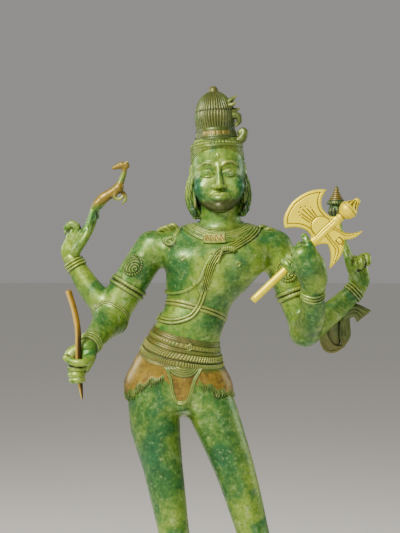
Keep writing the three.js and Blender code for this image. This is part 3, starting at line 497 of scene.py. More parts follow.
LEFT_BACK_FOREARM = ([(19.2, 0.2, 78.0), (24.3, 1.4, 81.9), (29.0, 2, 86.2)], [2.6, 2.3, 1.7])
LEFT_FRONT_FOREARM = ([(17.8, -1.0, 77.5), (18.8, -6.4, 80.6), (18.4, -11.7, 86.6)], [2.7, 2.6, 1.9])


def round_section(row, z, turn, lift=0.0, squareness=2.0):
    """A place on a rounded section at a turn from its front, rising to the viewer's right. The row
    gives the middle across and in depth, half width, reach forward and reach back."""
    x, y, half, front, back = row
    side, fore = (np.sign(v) * np.abs(v) ** (2 / squareness) for v in (np.sin(turn), np.cos(turn)))
    reach = np.where(fore > 0, front, back)
    return np.stack([x + (half + lift) * side, y - (reach + lift) * fore, z + 0 * side], -1)


def trunk_point(turn, z):
    """A place on the trunk's skin at a turn from its front and a height."""
    return round_section(TRUNK(z), z, turn, squareness=SQUARENESS)


body = Wax((-31, -13.5, 2.0), (31, 8.5, 104.5), 0.42)
body.sections(TRUNK, (-19, -8.5, 58), (13, 8.5, 100), SQUARENESS, 61.0, 98.8)
# Chest, belly, shoulder blades and seat
for centre, radii, blend in (
    ((-4.8, -3.4, 91.4), (4.9, 2.9, 3.4), 1.2), ((5.4, -3.4, 91.4), (4.9, 2.9, 3.4), 1.2),
    ((-4.6, -2.3, 79.0), (5.0, 3.2, 5.0), 1.6),
    ((-5.0, 3.6, 92.0), (4.2, 2.6, 4.0), 1.6), ((5.4, 3.6, 92.0), (4.2, 2.6, 4.0), 1.6),
    ((-11.0, 3.6, 64.5), (5.0, 4.2, 5.4), 1.4), ((-3.6, 3.6, 64.5), (4.9, 4.2, 5.4), 1.4),
):
    body.ball(centre, radii, blend)
# The spine's hollow
body.limb([(-6.9, 7.9, 70), (-4.6, 6.0, 79), (-1.2, 6.6, 88), (0.6, 7.2, 95)], [0.9, 1.0, 1.1, 0.9], 1.6, cut=True)
for points, radii in (RIGHT_LEG, LEFT_LEG):
    body.limb(points, radii, 1.6)
# Kneecaps, calves and ankle bones
for knee, calf, ankle in (((-7.8, -3.2, 36.0), (-6.6, 2.6, 26.5), (-4.8, 2.2, 4.8)),
                          ((8.2, -6.4, 36.6), (8.3, -0.4, 26.5), (7.2, 1.9, 4.8))):
    body.ball(knee, (1.7, 1.0, 2.1), 1.2)
    body.ball(calf, (2.6, 2.1, 5.4), 1.4)
    for side in (-1, 1):
        body.ball((ankle[0] + 1.55 * side, ankle[1], ankle[2]), (0.6, 0.7, 0.8), 0.5)
body.limb([(1.0, 0.6, 96), (1.1, 0.3, 99.4), (1.1, 0.2, 104.2)], [4.6, 4.05, 3.9], 1.2, flat=0.92)
for points, radii in (RIGHT_UPPER_ARM, LEFT_UPPER_ARM):
    body.limb(points, radii, 2.2)
for points, radii in (RIGHT_BACK_FOREARM, LEFT_BACK_FOREARM, RIGHT_FRONT_FOREARM, LEFT_FRONT_FOREARM):
    body.limb(points, radii, 0.9)
# The skin over the elbow of each front arm
body.ball((-21.1, -0.6, 79.3), (3.4, 3.3, 3.0), 0.8)
body.ball((17.9, -1.2, 77.2), (2.9, 3.2, 2.8), 0.8)

# The swell under the loincloth
body.limb([(-6.5, -3.4, 70.5), (-6.6, -3.9, 67.0), (-6.7, -3.5, 64.4)], [2.6, 2.35, 1.6], 1.2, flat=0.8)
body.ball((-6.7, -3.1, 63.0), (1.7, 1.9, 1.3), 0.8)

# Deep green patches, of patina and of painted shade: place across and height, reach across and up, strength; all on
# the front
# Those on the thighs, the left elbow and the fork of the legs are painted shade where the light falls off;
# those on the chest, belly and shoulders are patina, deepened by painted shade down the chest's side on the
# viewer's right.
GREEN_STAINS_AND_SHADE = [(-8.2, 90.6, 2, 7.5, 0.68), (-4.4, 94.2, 4, 1.75, 0.51), (5.4, 91, 2.25, 3.75, 0.77),
          (3.4, 87.2, 2.25, 3.75, 0.85), (1, 83.6, 2.75, 2, 0.77), (-0.6, 79, 3, 2.5, 0.77),
          (-13, 96.8, 3.25, 1.25, 0.59), (10.6, 95.6, 3.5, 2, 0.59), (-12.0, 54, 4.4, 10.0, 0.95),
          (-14.6, 60.5, 1.5, 4, 0.51), (1.2, 53, 4.2, 9.0, 0.9), (-1.6, 61.6, 2, 2.25, 0.42),
          (18.6, 79.5, 2, 5.75, 0.9), (-22.4, 80.4, 2.25, 2, 0.59), (-26.6, 85.6, 1.75, 4.25, 0.42),
          (24.5, 82.6, 2.25, 1.12, 0.59), (-6.7, 62.8, 1.6, 1.1, 0.9)]


def stain_and_shade_depth(points, places):
    """How deep the green of patina and of painted shade is at each point, from the patches' places."""
    deep = np.zeros(len(points))
    for across, height, wide, tall, strength in places:
        away = np.hypot((points[:, 0] - across) / wide, (points[:, 2] - height) / tall)
        deep = np.maximum(deep, strength * np.exp(-away ** 2))
    return deep * ramp(points[:, 1], 1.2, -1.8)


figure_body = body.cast("figure_body", lambda points, relief: {"stain": stain_and_shade_depth(points, GREEN_STAINS_AND_SHADE)})
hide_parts("figure")


# Feet
# Modelled with the legs, flat on the pedestal, with the toes parted and their nails cut in.
feet = Wax((-12, -14, -0.25), (18, 6, 6.2), 0.25)
for ankle, turn in (((-4.8, 2.4), -8), ((7.2, 2.0), 38)):
    ahead = np.array([math.sin(math.radians(turn)), -math.cos(math.radians(turn)), 0])
    aside = np.array([-ahead[1], ahead[0], 0])
    inner = -1 if turn > 10 else 1

    def on_foot(run, side, rise):
        return np.array([*ankle, rise]) + run * ahead + side * aside * inner

    feet.limb([on_foot(0, 0, 6.4), on_foot(0, 0, 3.4)], [1.85, 1.9], 0.8)
    feet.limb([on_foot(-1.4, 0, 1.6), on_foot(2.0, 0, 2.2), on_foot(5.4, 0.1, 1.35), on_foot(7.4, 0.1, 1.0)],
              [1.9, 2.3, 2.2, 1.9], 0.9, flat=0.62, toward=(0, 0, 1))
    feet.ball(on_foot(-1.7, 0, 1.5), (1.9, 2.0, 1.6), 0.8)
    for toe in range(5):
        side = 1.85 - 0.98 * toe
        long = (3.2, 2.9, 2.5, 2.0, 1.5)[toe]
        size = (0.82, 0.6, 0.56, 0.52, 0.48)[toe]
        feet.limb([on_foot(6.6 - 0.25 * toe, side, 1.0), on_foot(7.2 - 0.25 * toe + 0.5 * long, side * 1.05, 1.05),
                   on_foot(7.2 - 0.3 * toe + long, side * 1.08, 0.6)], [size * 1.1, size, size * 0.9], 0.22)
        feet.ball(on_foot(7.3 - 0.3 * toe + long, side * 1.08, 1.15), (0.3, 0.3, 0.2), 0.1, cut=True)
feet.field = np.maximum(feet.field, -(feet.low[2] + feet.step * np.arange(feet.count[2])))
feet.cast("feet")


# Hide and loincloth
# A hide wrapped round the hips, smooth and rubbed golden, with its fur left as ragged tufts at the
# hem, and the tongue of the loincloth before it. Both are modelled in the wax with the body.
NET_PITCH = 0.13  # angulas between the points of chased work, about 0.9 mm
TRUNK_SIDES = 720  # points round the trunk in work that goes right round it
SINK = 0.4  # how deep the edges of chased work are sunk in the wax
LEAST_LIFT = 0.05  # flatter work than this stays plain


def shaded(lift, low, high):
    """A lift as a relief mark, -1 at one percentile of it and 1 at another."""
    low, high = np.percentile(lift, [low, high])
    return 2 * (lift - low) / max(high - low, LEAST_LIFT) - 1


def chased(name, wax, net_points, lift, closed=False, **marks):
    """A net of points settled on the wax and raised by its lift, and closed underneath."""
    base = wax.settle(net_points)
    up = wax.normal(base, 0.5)
    points = np.concatenate([base + up * lift[..., None], base[:, [-1, 0]] - SINK * up[:, [-1, 0]]], axis=1)
    if not closed:
        first, last = (base[[i]].mean(1, keepdims=True).repeat(points.shape[1], 1) - SINK * up[[i], :1]
                       for i in (0, -1))
        points = np.concatenate([first, points, last])
    extra = ((0, 0) if closed else (1, 1), (0, 2))
    marks = {mark: np.pad(np.broadcast_to(values, lift.shape), extra, mode="edge")
             for mark, values in {"relief": 0.85 * shaded(lift, 4, 96), **marks}.items()}
    return cast(name, points.reshape(-1, 3), net(*points.shape[:2], closed, True), **marks)


def ridges(v, places, half):
    """Round ridges at each place across, as a share of their height."""
    return np.max([dome(v - place, half) for place in places], axis=0)


def plateau(v, low, high, soft=0.12):
    """One between low and high, with soft shoulders inside them."""
    return ramp(v, low, low + soft) * ramp(v, high, high - soft)


# At each level: how far a belt rises to the viewer's right, and how far it rises in front
BELT_LEVELS = (66.4, 71.7, 77.1, 81.6, 88)
BELT_SIDE = (-0.5, -1.7, -1.7, -1.7, 0)
BELT_DIP = (0, -1.5, -0.5, 0.9, 0)


def belt_height(level, angle):
    """The height of a belt's level at an angle round the trunk, tipped and dipped as the belts are."""
    return (level + np.interp(level, BELT_LEVELS, BELT_SIDE) * np.sin(angle)
            + np.interp(level, BELT_LEVELS, BELT_DIP) * np.cos(angle))


tufts = np.random.default_rng(5)
HEM_TUFTS = 150
# Height of the hem at each angle round the trunk, in degrees from the front to the viewer's right
HEM_LINE = ((-180, 65.5), (-90, 64.5), (-60, 65.0), (-35, 66.9), (-20, 68.0), (0, 68.4), (20, 67.3), (32, 66.4),
            (50, 65.1), (90, 64.2), (180, 65.5))
around = np.linspace(-math.pi, math.pi, TRUNK_SIDES, endpoint=False)
down = np.linspace(0, 1, 42)
tuft_long = tufts.uniform(-0.1, 0.95, HEM_TUFTS) + 0.25 * np.sin(np.arange(HEM_TUFTS) * 0.9)
tuft_at = (around + math.pi) * HEM_TUFTS / (2 * math.pi) + 0.3 * np.sin(7 * around)
tuft_index = tuft_at.astype(int) % HEM_TUFTS
tuft_turn = 2 * (tuft_at % 1) - 1
hem_line = np.interp(np.degrees(around), *zip(*HEM_LINE))
hem = hem_line - tuft_long[tuft_index] * (1 - np.clip(np.abs(tuft_turn), 0, 1) ** 1.6)
top = belt_height(72.0, around)
U, V = np.meshgrid(around, down, indexing="ij")
hide_height = top[:, None] + (hem - top)[:, None] * V
above_hem = hide_height - hem_line[:, None]
behind_tongue = plateau(U, -0.26, 0.4, 0.08)
fur_top = 1.15 + 0.35 * np.sin(U * 23)
fur = ramp(above_hem, fur_top, fur_top - 0.7) * (1 - behind_tongue)
hair_strokes = np.cos(U * 230 + 2.4 * np.sin(U * 31) + 1.3 * above_hem)
hide_lift = 0.22 + fur * (0.14 + 0.1 * hair_strokes - 0.12 * np.abs(tuft_turn[:, None]) ** 3) - 0.15 * (V > 0.985)
hide_lift = hide_lift * (1 - 0.8 * behind_tongue)
chased("hide", body, trunk_point(U, hide_height), hide_lift, True,
       relief=fur * (0.85 * hair_strokes - 0.05), tan=0.4 * fur, hide=1 - np.clip(1.5 * fur, 0, 1))

# Half width and middle of the tongue at each height
TONGUE_LOW, TONGUE_TOP = 63.3, 70.9
TONGUE_HALF = ((TONGUE_LOW, 0.2), (63.45, 0.7), (63.8, 1.25), (64.5, 1.75), (66.3, 2.2), (68.4, 2.7), (70.1, 3.6),
               (TONGUE_TOP, 4.2))
TONGUE_MIDDLE = ((TONGUE_LOW, -6.65), (66.6, -6.5), (70.1, -6.1), (TONGUE_TOP, -6.0))
SWAG_REACH = 3.45
tongue_rows = np.linspace(TONGUE_LOW, TONGUE_TOP, 110)
tongue_columns = np.linspace(-1, 1, 80)
tongue_half = np.interp(tongue_rows, *zip(*TONGUE_HALF))
X = np.interp(tongue_rows, *zip(*TONGUE_MIDDLE))[:, None] + tongue_half[:, None] * tongue_columns
Z = tongue_rows[:, None] + 0 * X
inside = np.minimum(tongue_half[:, None] * (1 - np.abs(tongue_columns)), 0.9 * (Z - TONGUE_LOW))
swag = np.hypot((X + 6.1) / 1.1, Z - 72.1)
swag_share = (swag < SWAG_REACH) & (inside > 0.75)
folds = swag_share * ridges(swag, (1.3, 1.75, 2.2, 2.65, 3.1), 0.2)
cords = ridges(inside, (0.18, 0.52), 0.16)
plain = (inside > 0.78) & (swag > SWAG_REACH)
tongue_lift = (0.26 + 0.2 * cords + 0.14 * folds - 0.06 * plain) * np.clip((71.2 - Z) / 0.8, 0.2, 1)
chased("loincloth", body, np.stack([X, -5.6 + 0 * X, Z], -1), tongue_lift, hide=plain * 1.0,
       relief=np.where(plain, 0.0, np.where(swag_share, folds - 0.45, 1.3 * cords - 0.45)),
       tan=0.25 + 0.35 * swag_share)


# Girdle
# Belts wound low round the hips, chased after casting: three fine cords, a leaf band with a rosette,
# a double cord, a band of slanting strokes, a ribbed band and two cords at the hide's edge.
GIRDLE_TOP, GIRDLE_LOW = 77.1, 71.7
U, level = np.meshgrid(even_turns(TRUNK_SIDES), np.linspace(GIRDLE_TOP, GIRDLE_LOW, 60), indexing="ij")
V = GIRDLE_TOP - level
LEAVES, STROKES, RIBS = 64, 92, 120
leaf_turn = nearest(U * LEAVES / (2 * math.pi) + 0.6 * (V - 1.4), 1.0)
stroke = 0.5 + 0.5 * np.cos(U * STROKES + 6.0 * (V - 3.2))
rib = 0.5 + 0.5 * np.cos(U * RIBS + 1.6 * (V - 4.5))
rosette = np.hypot(nearest(U - 0.19, 2 * math.pi) * 8.1, V - 1.4)
girdle_lift = (
    0.08 + 0.16 * ridges(V, (0.14, 0.42, 0.70), 0.12)
    + plateau(V, 0.92, 1.86) * (0.2 + 0.12 * dome(leaf_turn, 0.42) * plateau(V, 1.0, 1.78, 0.25))
    + 0.24 * ridges(V, (2.08, 2.36), 0.13)
    + plateau(V, 2.6, 3.78) * (0.24 + 0.18 * stroke - 0.06 * np.cos(V * 21))
    + plateau(V, 3.98, 4.86) * (0.2 + 0.18 * rib)
    + 0.2 * ridges(V, (5.02, 5.26), 0.12)
)
girdle_lift = np.where(rosette < 0.6, 0.3 + 0.16 * ridges(rosette, (0.0, 0.44), 0.16), girdle_lift)
chased("girdle", body, trunk_point(U, belt_height(level, U)), girdle_lift, True,
       relief=np.maximum(0.8 * shaded(girdle_lift, 3, 92), -0.42), tan=0.85 - 0.3 * np.sin(U))


# Chest band and sacred thread
# A flat band of two cords round the ribs, and the thread from the left shoulder: four fine cords
# over the breast, with a knot, and two where they pass under the band and round the right side.
BAND_MIDDLE, BAND_WIDTH = 81.5, 1.5
BAND_PITCH = 0.065  # angulas between points across a band


def run_along(line):
    """The length run to each point of a line."""
    return np.concatenate([[0], np.cumsum(np.linalg.norm(np.diff(line, axis=0), axis=1))])


def evenly(path, pitch, closed=False):
    """The same line with its points an even pitch apart."""
    line = np.concatenate([path, path[:1]]) if closed else path
    run = run_along(line)
    count = max(int(run[-1] / pitch), 8)
    stops = np.linspace(0, run[-1], count, endpoint=not closed)
    return np.stack([np.interp(stops, run, line[:, i]) for i in range(3)], -1), stops, run[-1]


def along(share, values):
    """The value at a share of the way through values that are evenly spread."""
    return np.interp(share, np.linspace(0, 1, np.size(values)), np.atleast_1d(values))


def band(name, wax, path, width, lift_of, closed=False, **marks):
    """A band along a path on the wax. Its lift is a function of the length along and the place
    across, in angulas, and of the band's whole length."""
    line = wax.settle(curve(path, 160, closed))
    line, run, length = evenly(line, NET_PITCH, closed)
    if closed:
        way = np.roll(line, -2, axis=0) - np.roll(line, 2, axis=0)
    else:
        way = np.gradient(line, axis=0)
        for _ in range(3):
            way[1:-1] = (way[:-2] + way[1:-1] + way[2:]) / 3
    up = wax.normal(line, 0.8)
    across = unit(np.cross(way, up))
    wide = along(run / length, width)
    offset = wide[:, None] * np.linspace(-0.5, 0.5, max(int(wide.max() / BAND_PITCH), 8))
    lift = lift_of(run[:, None] + 0 * offset, offset, length)
    if not closed:
        end = ramp(np.minimum(run, length - run)[:, None], 0, 0.3)
        lift = lift * end - 0.1 * (1 - end)
    return chased(name, wax, line[:, None] + across[:, None] * offset[..., None], lift, closed, **marks)


around = even_turns(48)
band("chest_band", body, trunk_point(around, belt_height(BAND_MIDDLE, around)), BAND_WIDTH,
     lambda run, v, length: 0.06 + 0.2 * ridges(v, (-0.36, 0.3), 0.28) + 0.08 * ridges(v, (-0.72, 0.66), 0.07),
     True, tan=0.4)

THREAD_FRONT = [(8.3, 0.4, 98.3), (7.3, -3.0, 97.0), (4.4, -5.4, 94.9), (2.85, -6.0, 94.1), (1.1, -6.2, 93.4),
                (-0.5, -6.5, 91.2), (-1.45, -6.4, 88.6), (-2.2, -6.0, 85.7), (-3.0, -5.6, 83.2),
                (-3.7, -5.5, 81.9), (-4.95, -5.4, 80.6), (-7.9, -5.0, 79.7), (-11.0, -2.0, 80.0)]
THREAD_BACK = [(-11.6, 1.2, 80.8), (-9.6, 4.2, 82.4), (-5.4, 5.4, 85.4), (0.2, 6.2, 90.0), (5.0, 5.4, 95.0),
               (7.8, 3.4, 97.8)]
THREAD_WIDTHS = (2.1, 2.05, 1.6, 1.3, 1.3, 1.35, 1.3, 1.0, 0.8, 0.9, 1.4, 1.8)


def thread_lift(run, v, length):
    """Four fine cords side by side over the breast, two where it passes round the right side."""
    across = v / along(run / length, THREAD_WIDTHS)
    breast = 1 - plateau(run, 20, 34, 1.5)
    many = ridges(across, (-0.38, -0.13, 0.13, 0.38), 0.082)
    two = ridges(across, (-0.24, 0.24), 0.2)
    return 0.12 + 0.26 * (many * breast + two * (1 - breast)) + 0.06 * dome(across, 0.55)


band("sacred_thread", body, THREAD_FRONT + THREAD_BACK, THREAD_WIDTHS, thread_lift, True, tan=0.15)
THIN_STRAND = [(-0.5, -6.4, 92.9), (-1.9, -6.6, 90.6), (-2.9, -6.2, 88.1), (-4.1, -5.8, 86.7), (-6.0, -5.2, 85.6),
               (-9.4, -2.2, 85.2), (-9.4, 2.2, 85.8), (-5.2, 5.4, 87.2), (-0.6, 6.2, 89.6)]
band("thin_strand", body, THIN_STRAND, 0.62,
     lambda run, v, length: 0.08 + 0.3 * dome(v, 0.36) * (0.8 + 0.2 * np.cos(run * 16 - v * 6)))

# The knot's coil of ribbed cord and its braided end, the bead, and the rings on the breast
knot = Wax((-6, -9, 84), (7, -4, 97), 0.1)
for k in range(7):
    t = k / 6
    knot.ball((1.3 + 2.2 * t, -6.85 + 0.3 * t * t, 93.75 + 0.2 * math.sin(3 * t)),
              (0.24, 0.42, 0.5 + 0.1 * t), 0.06)
knot.ball((3.7, -6.4, 93.75), (0.42, 0.42, 0.45), 0.1)
for k in range(6):
    t = k / 5
    knot.ball((1.2 - 0.75 * t, -6.85 + 0.1 * t, 93.2 - 1.9 * t), (0.36 - 0.06 * t, 0.34, 0.22), 0.06,
              turn=(0, 25, 0))
knot.ball(body.settle([(-4.15, -6.5, 86.75)])[0] + (0, -0.25, 0), (0.52, 0.5, 0.52), 0.1)
knot.cast("thread_knot", lambda points, relief: {"tan": 0.3 + 0 * relief})


def on_circle(turn, side, rise):
    """The direction at a turn round a circle: side at its start, rise a quarter turn on."""
    return np.cos(turn) * side + np.sin(turn) * rise


def disc(name, wax, centre, normal, radius, lift_of, **marks):
    """A round ornament on the wax. Its lift is a function of the distance from its middle and the turn."""
    side = unit(np.cross(normal, (0, 0, 1)))
    turn, out = np.meshgrid(even_turns(max(int(70 * radius), 40)),
                            np.linspace(CLOSING_RADIUS, radius, max(int(radius / 0.08), 8)), indexing="ij")
    flat = centre + out[..., None] * on_circle(turn[..., None], side, np.cross(side, unit(normal)))
    return chased(name, wax, flat, lift_of(out, turn), True, **marks)


for name, x, z in (("right_breast_ring", -6.4, 92.1), ("left_breast_ring", 4.4, 90.9)):
    disc(name, body, (x, -6.4, z), (0, -1, 0), 0.62,
         lambda out, turn: -0.02 + 0.17 * ridges(out, (0.42,), 0.15) + 0.13 * dome(out, 0.16))


# Armlets, bracelets and anklets
# Rings chased round the limbs. Each upper arm has a double ring under a round medallion of
# swirling leaves, and each wrist and ankle has three rings side by side.
def ring_path(limb, share):
    """A ring of points round a limb, at a share of its length."""
    points, radii = limb
    line = curve(points, 101)
    k = round(share * 100)
    way = unit(line[k + 1] - line[k - 1])
    side = np.cross(way, (0, 1, 0))
    if np.linalg.norm(side) < 0.3:
        side = np.cross(way, (1, 0, 0))
    side = unit(side)
    return line[k] + along(share, radii) * on_circle(even_turns(48)[:, None], side, np.cross(way, side))


def armlet_lift(run, v, length):
    """Two roped rings between fine lines."""
    rope = 0.85 + 0.15 * np.cos(run * 11 + 7 * np.abs(v))
    return 0.1 + 0.34 * ridges(v, (-0.5, 0.5), 0.38) * rope + 0.08 * ridges(v, (-0.98, 0.98), 0.08)


def bracelet_lift(run, v, length):
    """Three round rings."""
    return 0.08 + 0.34 * ridges(v, (-0.62, 0.0, 0.62), 0.26)


for name, limb in (("right_armlet", RIGHT_UPPER_ARM), ("left_armlet", LEFT_UPPER_ARM)):
    band(name, body, ring_path(limb, 0.6), 2.0, armlet_lift, True, tan=0.2)
for name, limb in (("right_back_bracelet", RIGHT_BACK_FOREARM), ("left_back_bracelet", LEFT_BACK_FOREARM),
                   ("right_front_bracelet", RIGHT_FRONT_FOREARM), ("left_front_bracelet", LEFT_FRONT_FOREARM)):
    band(name, body, ring_path(limb, 0.9), 1.9, bracelet_lift, True, tan=0.1)
band("right_elbow_ring", body, ring_path(RIGHT_FRONT_FOREARM, 0.07), 0.9,
     lambda run, v, length: 0.03 + 0.14 * ridges(v, (-0.22, 0.22), 0.17), True)
for name, limb in (("right_anklet", RIGHT_LEG), ("left_anklet", LEFT_LEG)):
    band(name, body, ring_path(limb, 0.95), 1.6, bracelet_lift, True)


def medallion_lift(out, turn):
    """Leaves that swirl out from one side of the disc, inside a rim of short petals."""
    x, z = out * np.cos(turn) + 0.8, out * np.sin(turn) + 0.9
    sweep = np.hypot(x, z)
    veins = 0.5 + 0.5 * np.cos(sweep * 11 + 1.2 * np.arctan2(z, x))
    petals = 0.5 + 0.5 * np.cos(turn * 26)
    rim = plateau(out, 1.78, 2.32)
    return 0.22 + (1 - rim) * 0.26 * veins * (out < 1.75) + rim * 0.3 * petals - 0.12 * ridges(out, (1.76,), 0.1)


disc("right_medallion", body, (-16.5, -2.5, 90.8), (-0.2, -1, 0.1), 2.3, medallion_lift)
disc("left_medallion", body, (14.2, -2.9, 89.6), (-0.1, -1, 0), 2.3, medallion_lift)


# Collar and shoulder ornaments
# A broad collar of cords and beads round the neck, with a plaque of five set stones in front, a
# leaf pendant before the right shoulder, and curls of hair that lie on both shoulders.
COLLAR_WIDTH = 3.5
COLLAR_ROUND = (1.0, 0.4, 6.3, 5.0, 4.4)


def collar_lift(run, v, length):
    """Three raised cords in the middle, a row of beads either side and two fine cords at each edge."""
    pitch = length / round(length / 0.36)
    beads = dome(np.hypot(nearest(run, pitch), np.abs(v) - 0.88), 0.18)
    return (0.08 + 0.2 * ridges(np.abs(v), (1.24, 1.56), 0.15) + 0.3 * ridges(v, (-0.48, 0.0, 0.48), 0.23)
            + 0.22 * beads)


turn = even_turns(60)
dip = 2.3 * np.clip(np.cos(turn), 0, 1) ** 1.5
band("collar", body, round_section(COLLAR_ROUND, 99.0 - dip, turn), COLLAR_WIDTH, collar_lift, True, tan=0.3)

PLAQUE_MIDDLE, PLAQUE_HALF, CELLS = (-0.15, -5.6, 96.25), (2.25, 0.98), 5
A, R = np.meshgrid(np.linspace(-1, 1, 60), np.linspace(-1, 1, 30), indexing="ij")
cell = nearest(A * CELLS / 2 * 0.94 + 0.5, 1.0)
stone = plateau(np.maximum(np.abs(cell) * 2.1, np.abs(R) * 1.25), -1, 0.86, 0.15)
vein = np.cos(16 * (cell * 0.8 + R * 0.45)) * 0.5 + 0.5
plaque_lift = 0.62 - 0.2 * stone + 0.12 * stone * vein - 0.5 * (np.maximum(np.abs(A), np.abs(R)) > 0.97)
plaque_net = np.stack([PLAQUE_MIDDLE[0] + A * PLAQUE_HALF[0],
                       PLAQUE_MIDDLE[1] + 0.35 * R + 0.12 * A ** 2,
                       PLAQUE_MIDDLE[2] + R * PLAQUE_HALF[1] + 0.22 * A ** 2 - 0.03 * A], -1)
chased("collar_plaque", body, plaque_net, plaque_lift, hide=0.75 * stone)


def leaf_lift(out, turn):
    """A pear shape inside a beaded rim."""
    point = out / (1.25 - 0.3 * np.cos(turn - 4.7)) * 1.2
    bead = 0.5 + 0.5 * np.cos(turn * 22)
    return (0.06 + 0.2 * dome(point, 0.42) + 0.2 * dome(point - 0.66, 0.14)
            + 0.24 * dome(point - 1.05, 0.2) * (0.6 + 0.4 * bead))


disc("shoulder_pendant", body, (-9.4, -4.2, 96.1), (-0.25, -1, 0.35), 1.35, leaf_lift)
band("pendant_strap", body, [(-7.3, -1.2, 98.4), (-7.9, -3.0, 97.9), (-8.6, -3.8, 97.2)], 0.9,
     lambda run, v, length: 0.08 + 0.16 * ridges(v, (-0.3, 0.0, 0.3), 0.13))
band("pendant_tail", body, [(-9.6, -4.6, 95.0), (-9.9, -5.0, 94.3), (-9.8, -5.2, 93.9)], 0.36,
     lambda run, v, length: 0.03 + 0.14 * dome(v, 0.18))

# Along one curl: its place outwards, in depth and up, and how much lower it lies on the next one out
CURL = ((-1.2, 0.2, -0.5, 0.28), (-0.3, -0.3, 0.35, 0.3), (0.5, 0.1, 0.1, 0.42), (0.7, 0.9, -0.6, 0.4))
curls = Wax((-15, -4, 93), (17, 5, 101.5), 0.155)
for side, x, z in ((-1, -9.6, 98.0), (1, 10.6, 97.7)):
    for k in range(4):
        a, b = 0.75 * k - 1.1, 0.35 * math.sin(2.1 * k)
        curls.limb([(x + side * (a + out), y + b, z + rise - fall * a) for out, y, rise, fall in CURL],
                   [0.42, 0.4, 0.3], 0.12)
curls.cast("shoulder_curls", lambda points, relief: {"relief": 1.6 * relief - 0.1, "tan": 0.35 + 0 * relief})


# Hands
# Each is modelled finger by finger and cast with the arm, its join under the bracelet. The back
# hands raise two fingers to what they carry, and the front ones close on the rod and the axe.
def hand(name, low, high, parts, nails=(), cuts=(), shade_patches=()):
    """A palm and fingers: each part's points, radii, blend and flatness. What it grips is cut out."""
    wax = Wax(low, high, 0.165)
    for points, radii, blend, *flat in parts:
        wax.limb(points, radii, blend, *flat)
    for place in nails:
        wax.ball(place, (0.24, 0.24, 0.3), 0.1, cut=True)
    for points, radius in cuts:
        wax.limb(points, [radius, radius], 0.05, cut=True)
    wax.cast(name, lambda points, relief: {"stain": stain_and_shade_depth(points, shade_patches)})


# Each hand's patches of painted shade, laid on as deep green: across, height, reach across and up, strength.
hand("right_back_hand", (-33, -2, 89), (-22, 6, 105), [
    ([(-28.1, 1.9, 90.4), (-28.8, 2, 91.8), (-29.2, 2, 93.6), (-28.5, 2, 96.2)], [1.65, 1.7, 1.9, 1.5], 0.4, 0.78),
    ([(-27.9, 1.1, 94.6), (-26.6, 0.8, 96.7), (-25.2, 0.7, 99.2), (-24.4, 1.0, 102.2)],
     [1.0, 0.85, 0.72, 0.55], 0.35),
    ([(-27.4, 2.5, 94.6), (-26.0, 2.4, 96.6), (-24.7, 2.2, 99.2), (-23.9, 2.0, 102.6)],
     [1.0, 0.85, 0.75, 0.6], 0.3),
    ([(-28.0, 0.8, 93.2), (-26.9, 0.0, 94.8), (-25.8, 0.0, 96.6), (-25.2, 0.4, 98.2)], [1.0, 0.85, 0.7, 0.5], 0.35),
    ([(-28.6, 1.3, 95.6), (-27.7, 1.1, 98.2), (-28.8, 1.0, 99.0), (-29.9, 1.1, 98.1)], [0.9, 0.78, 0.7, 0.58], 0.3),
    ([(-29.0, 2.8, 95.4), (-28.6, 2.9, 97.5), (-29.3, 2.8, 98.3), (-30.1, 2.7, 97.3)], [0.8, 0.7, 0.62, 0.5], 0.3),
    ([(-28.9, 1.9, 96.6), (-28.9, 1.9, 97.7)], [1.0, 0.75], 0.3),
], [(-30.4, 0.7, 97.9), (-25.2, -0.2, 98.3)], (), [(-28.6, 93.6, 3.0, 4.0, 0.6)])
hand("left_back_hand", (22, -2, 83), (33, 6, 101), [
    ([(28.2, 1.9, 85.0), (28.8, 2, 86.2), (29.3, 2, 88), (29.2, 2, 90.4)], [1.7, 1.7, 2.0, 1.6], 0.4, 0.78),
    ([(28.9, 1.9, 87.2), (28.8, 1.8, 89.6), (28.3, 1.8, 91.4)], [1.95, 1.85, 1.25], 0.4, 0.8),
    ([(28.3, 1.1, 89.4), (27.2, 0.9, 91.6), (26.1, 0.8, 94.4), (25.1, 1.1, 98.2)], [1.05, 0.92, 0.8, 0.55], 0.35),
    ([(28.5, 2.6, 89.6), (27.2, 2.5, 91.9), (26.1, 2.3, 95.0), (25.1, 2.2, 98.8)], [1.05, 0.92, 0.8, 0.55], 0.3),
    ([(28.4, 0.8, 88.0), (27.2, 0.0, 90.0), (26.5, -0.1, 92.0), (26.0, 0.4, 93.8)], [1.0, 0.85, 0.7, 0.5], 0.35),
    ([(29.6, 2.4, 90.0), (29.9, 2.2, 92.1), (30.5, 1.0, 92.3), (30.6, 0.4, 91.2)], [1.0, 0.95, 0.85, 0.7], 0.25),
    ([(28.8, 1.6, 91.6), (29.2, 0.3, 92.0), (29.3, -0.4, 91.0), (29.0, -0.3, 90.2)],
     [0.85, 0.72, 0.66, 0.52], 0.06),
    ([(28.0, 1.4, 91.2), (28.2, 0.1, 91.4), (28.2, -0.5, 90.6), (28.0, -0.4, 89.9)], [0.8, 0.66, 0.6, 0.48], 0.06),
], [(30.9, -0.2, 91.0), (26.0, -0.2, 94.0)], (), [(30.6, 91.6, 1.6, 2.0, 0.4), (28.6, 87.4, 2.2, 2.2, 0.9)])

ROD_LINE = [(-27.5, -15.6, 85.9), (-26.5, -14.2, 82.0), (-26.0, -13.2, 78.4), (-26.0, -12.6, 74.2),
            (-25.8, -12.6, 70.0), (-25.2, -13.1, 65.4)]
ROD_RADIUS_MM, GRIP_CLEARANCE_MM = 3.8, 0.4
ROD_GRIP = (ROD_RADIUS_MM + GRIP_CLEARANCE_MM) * MM


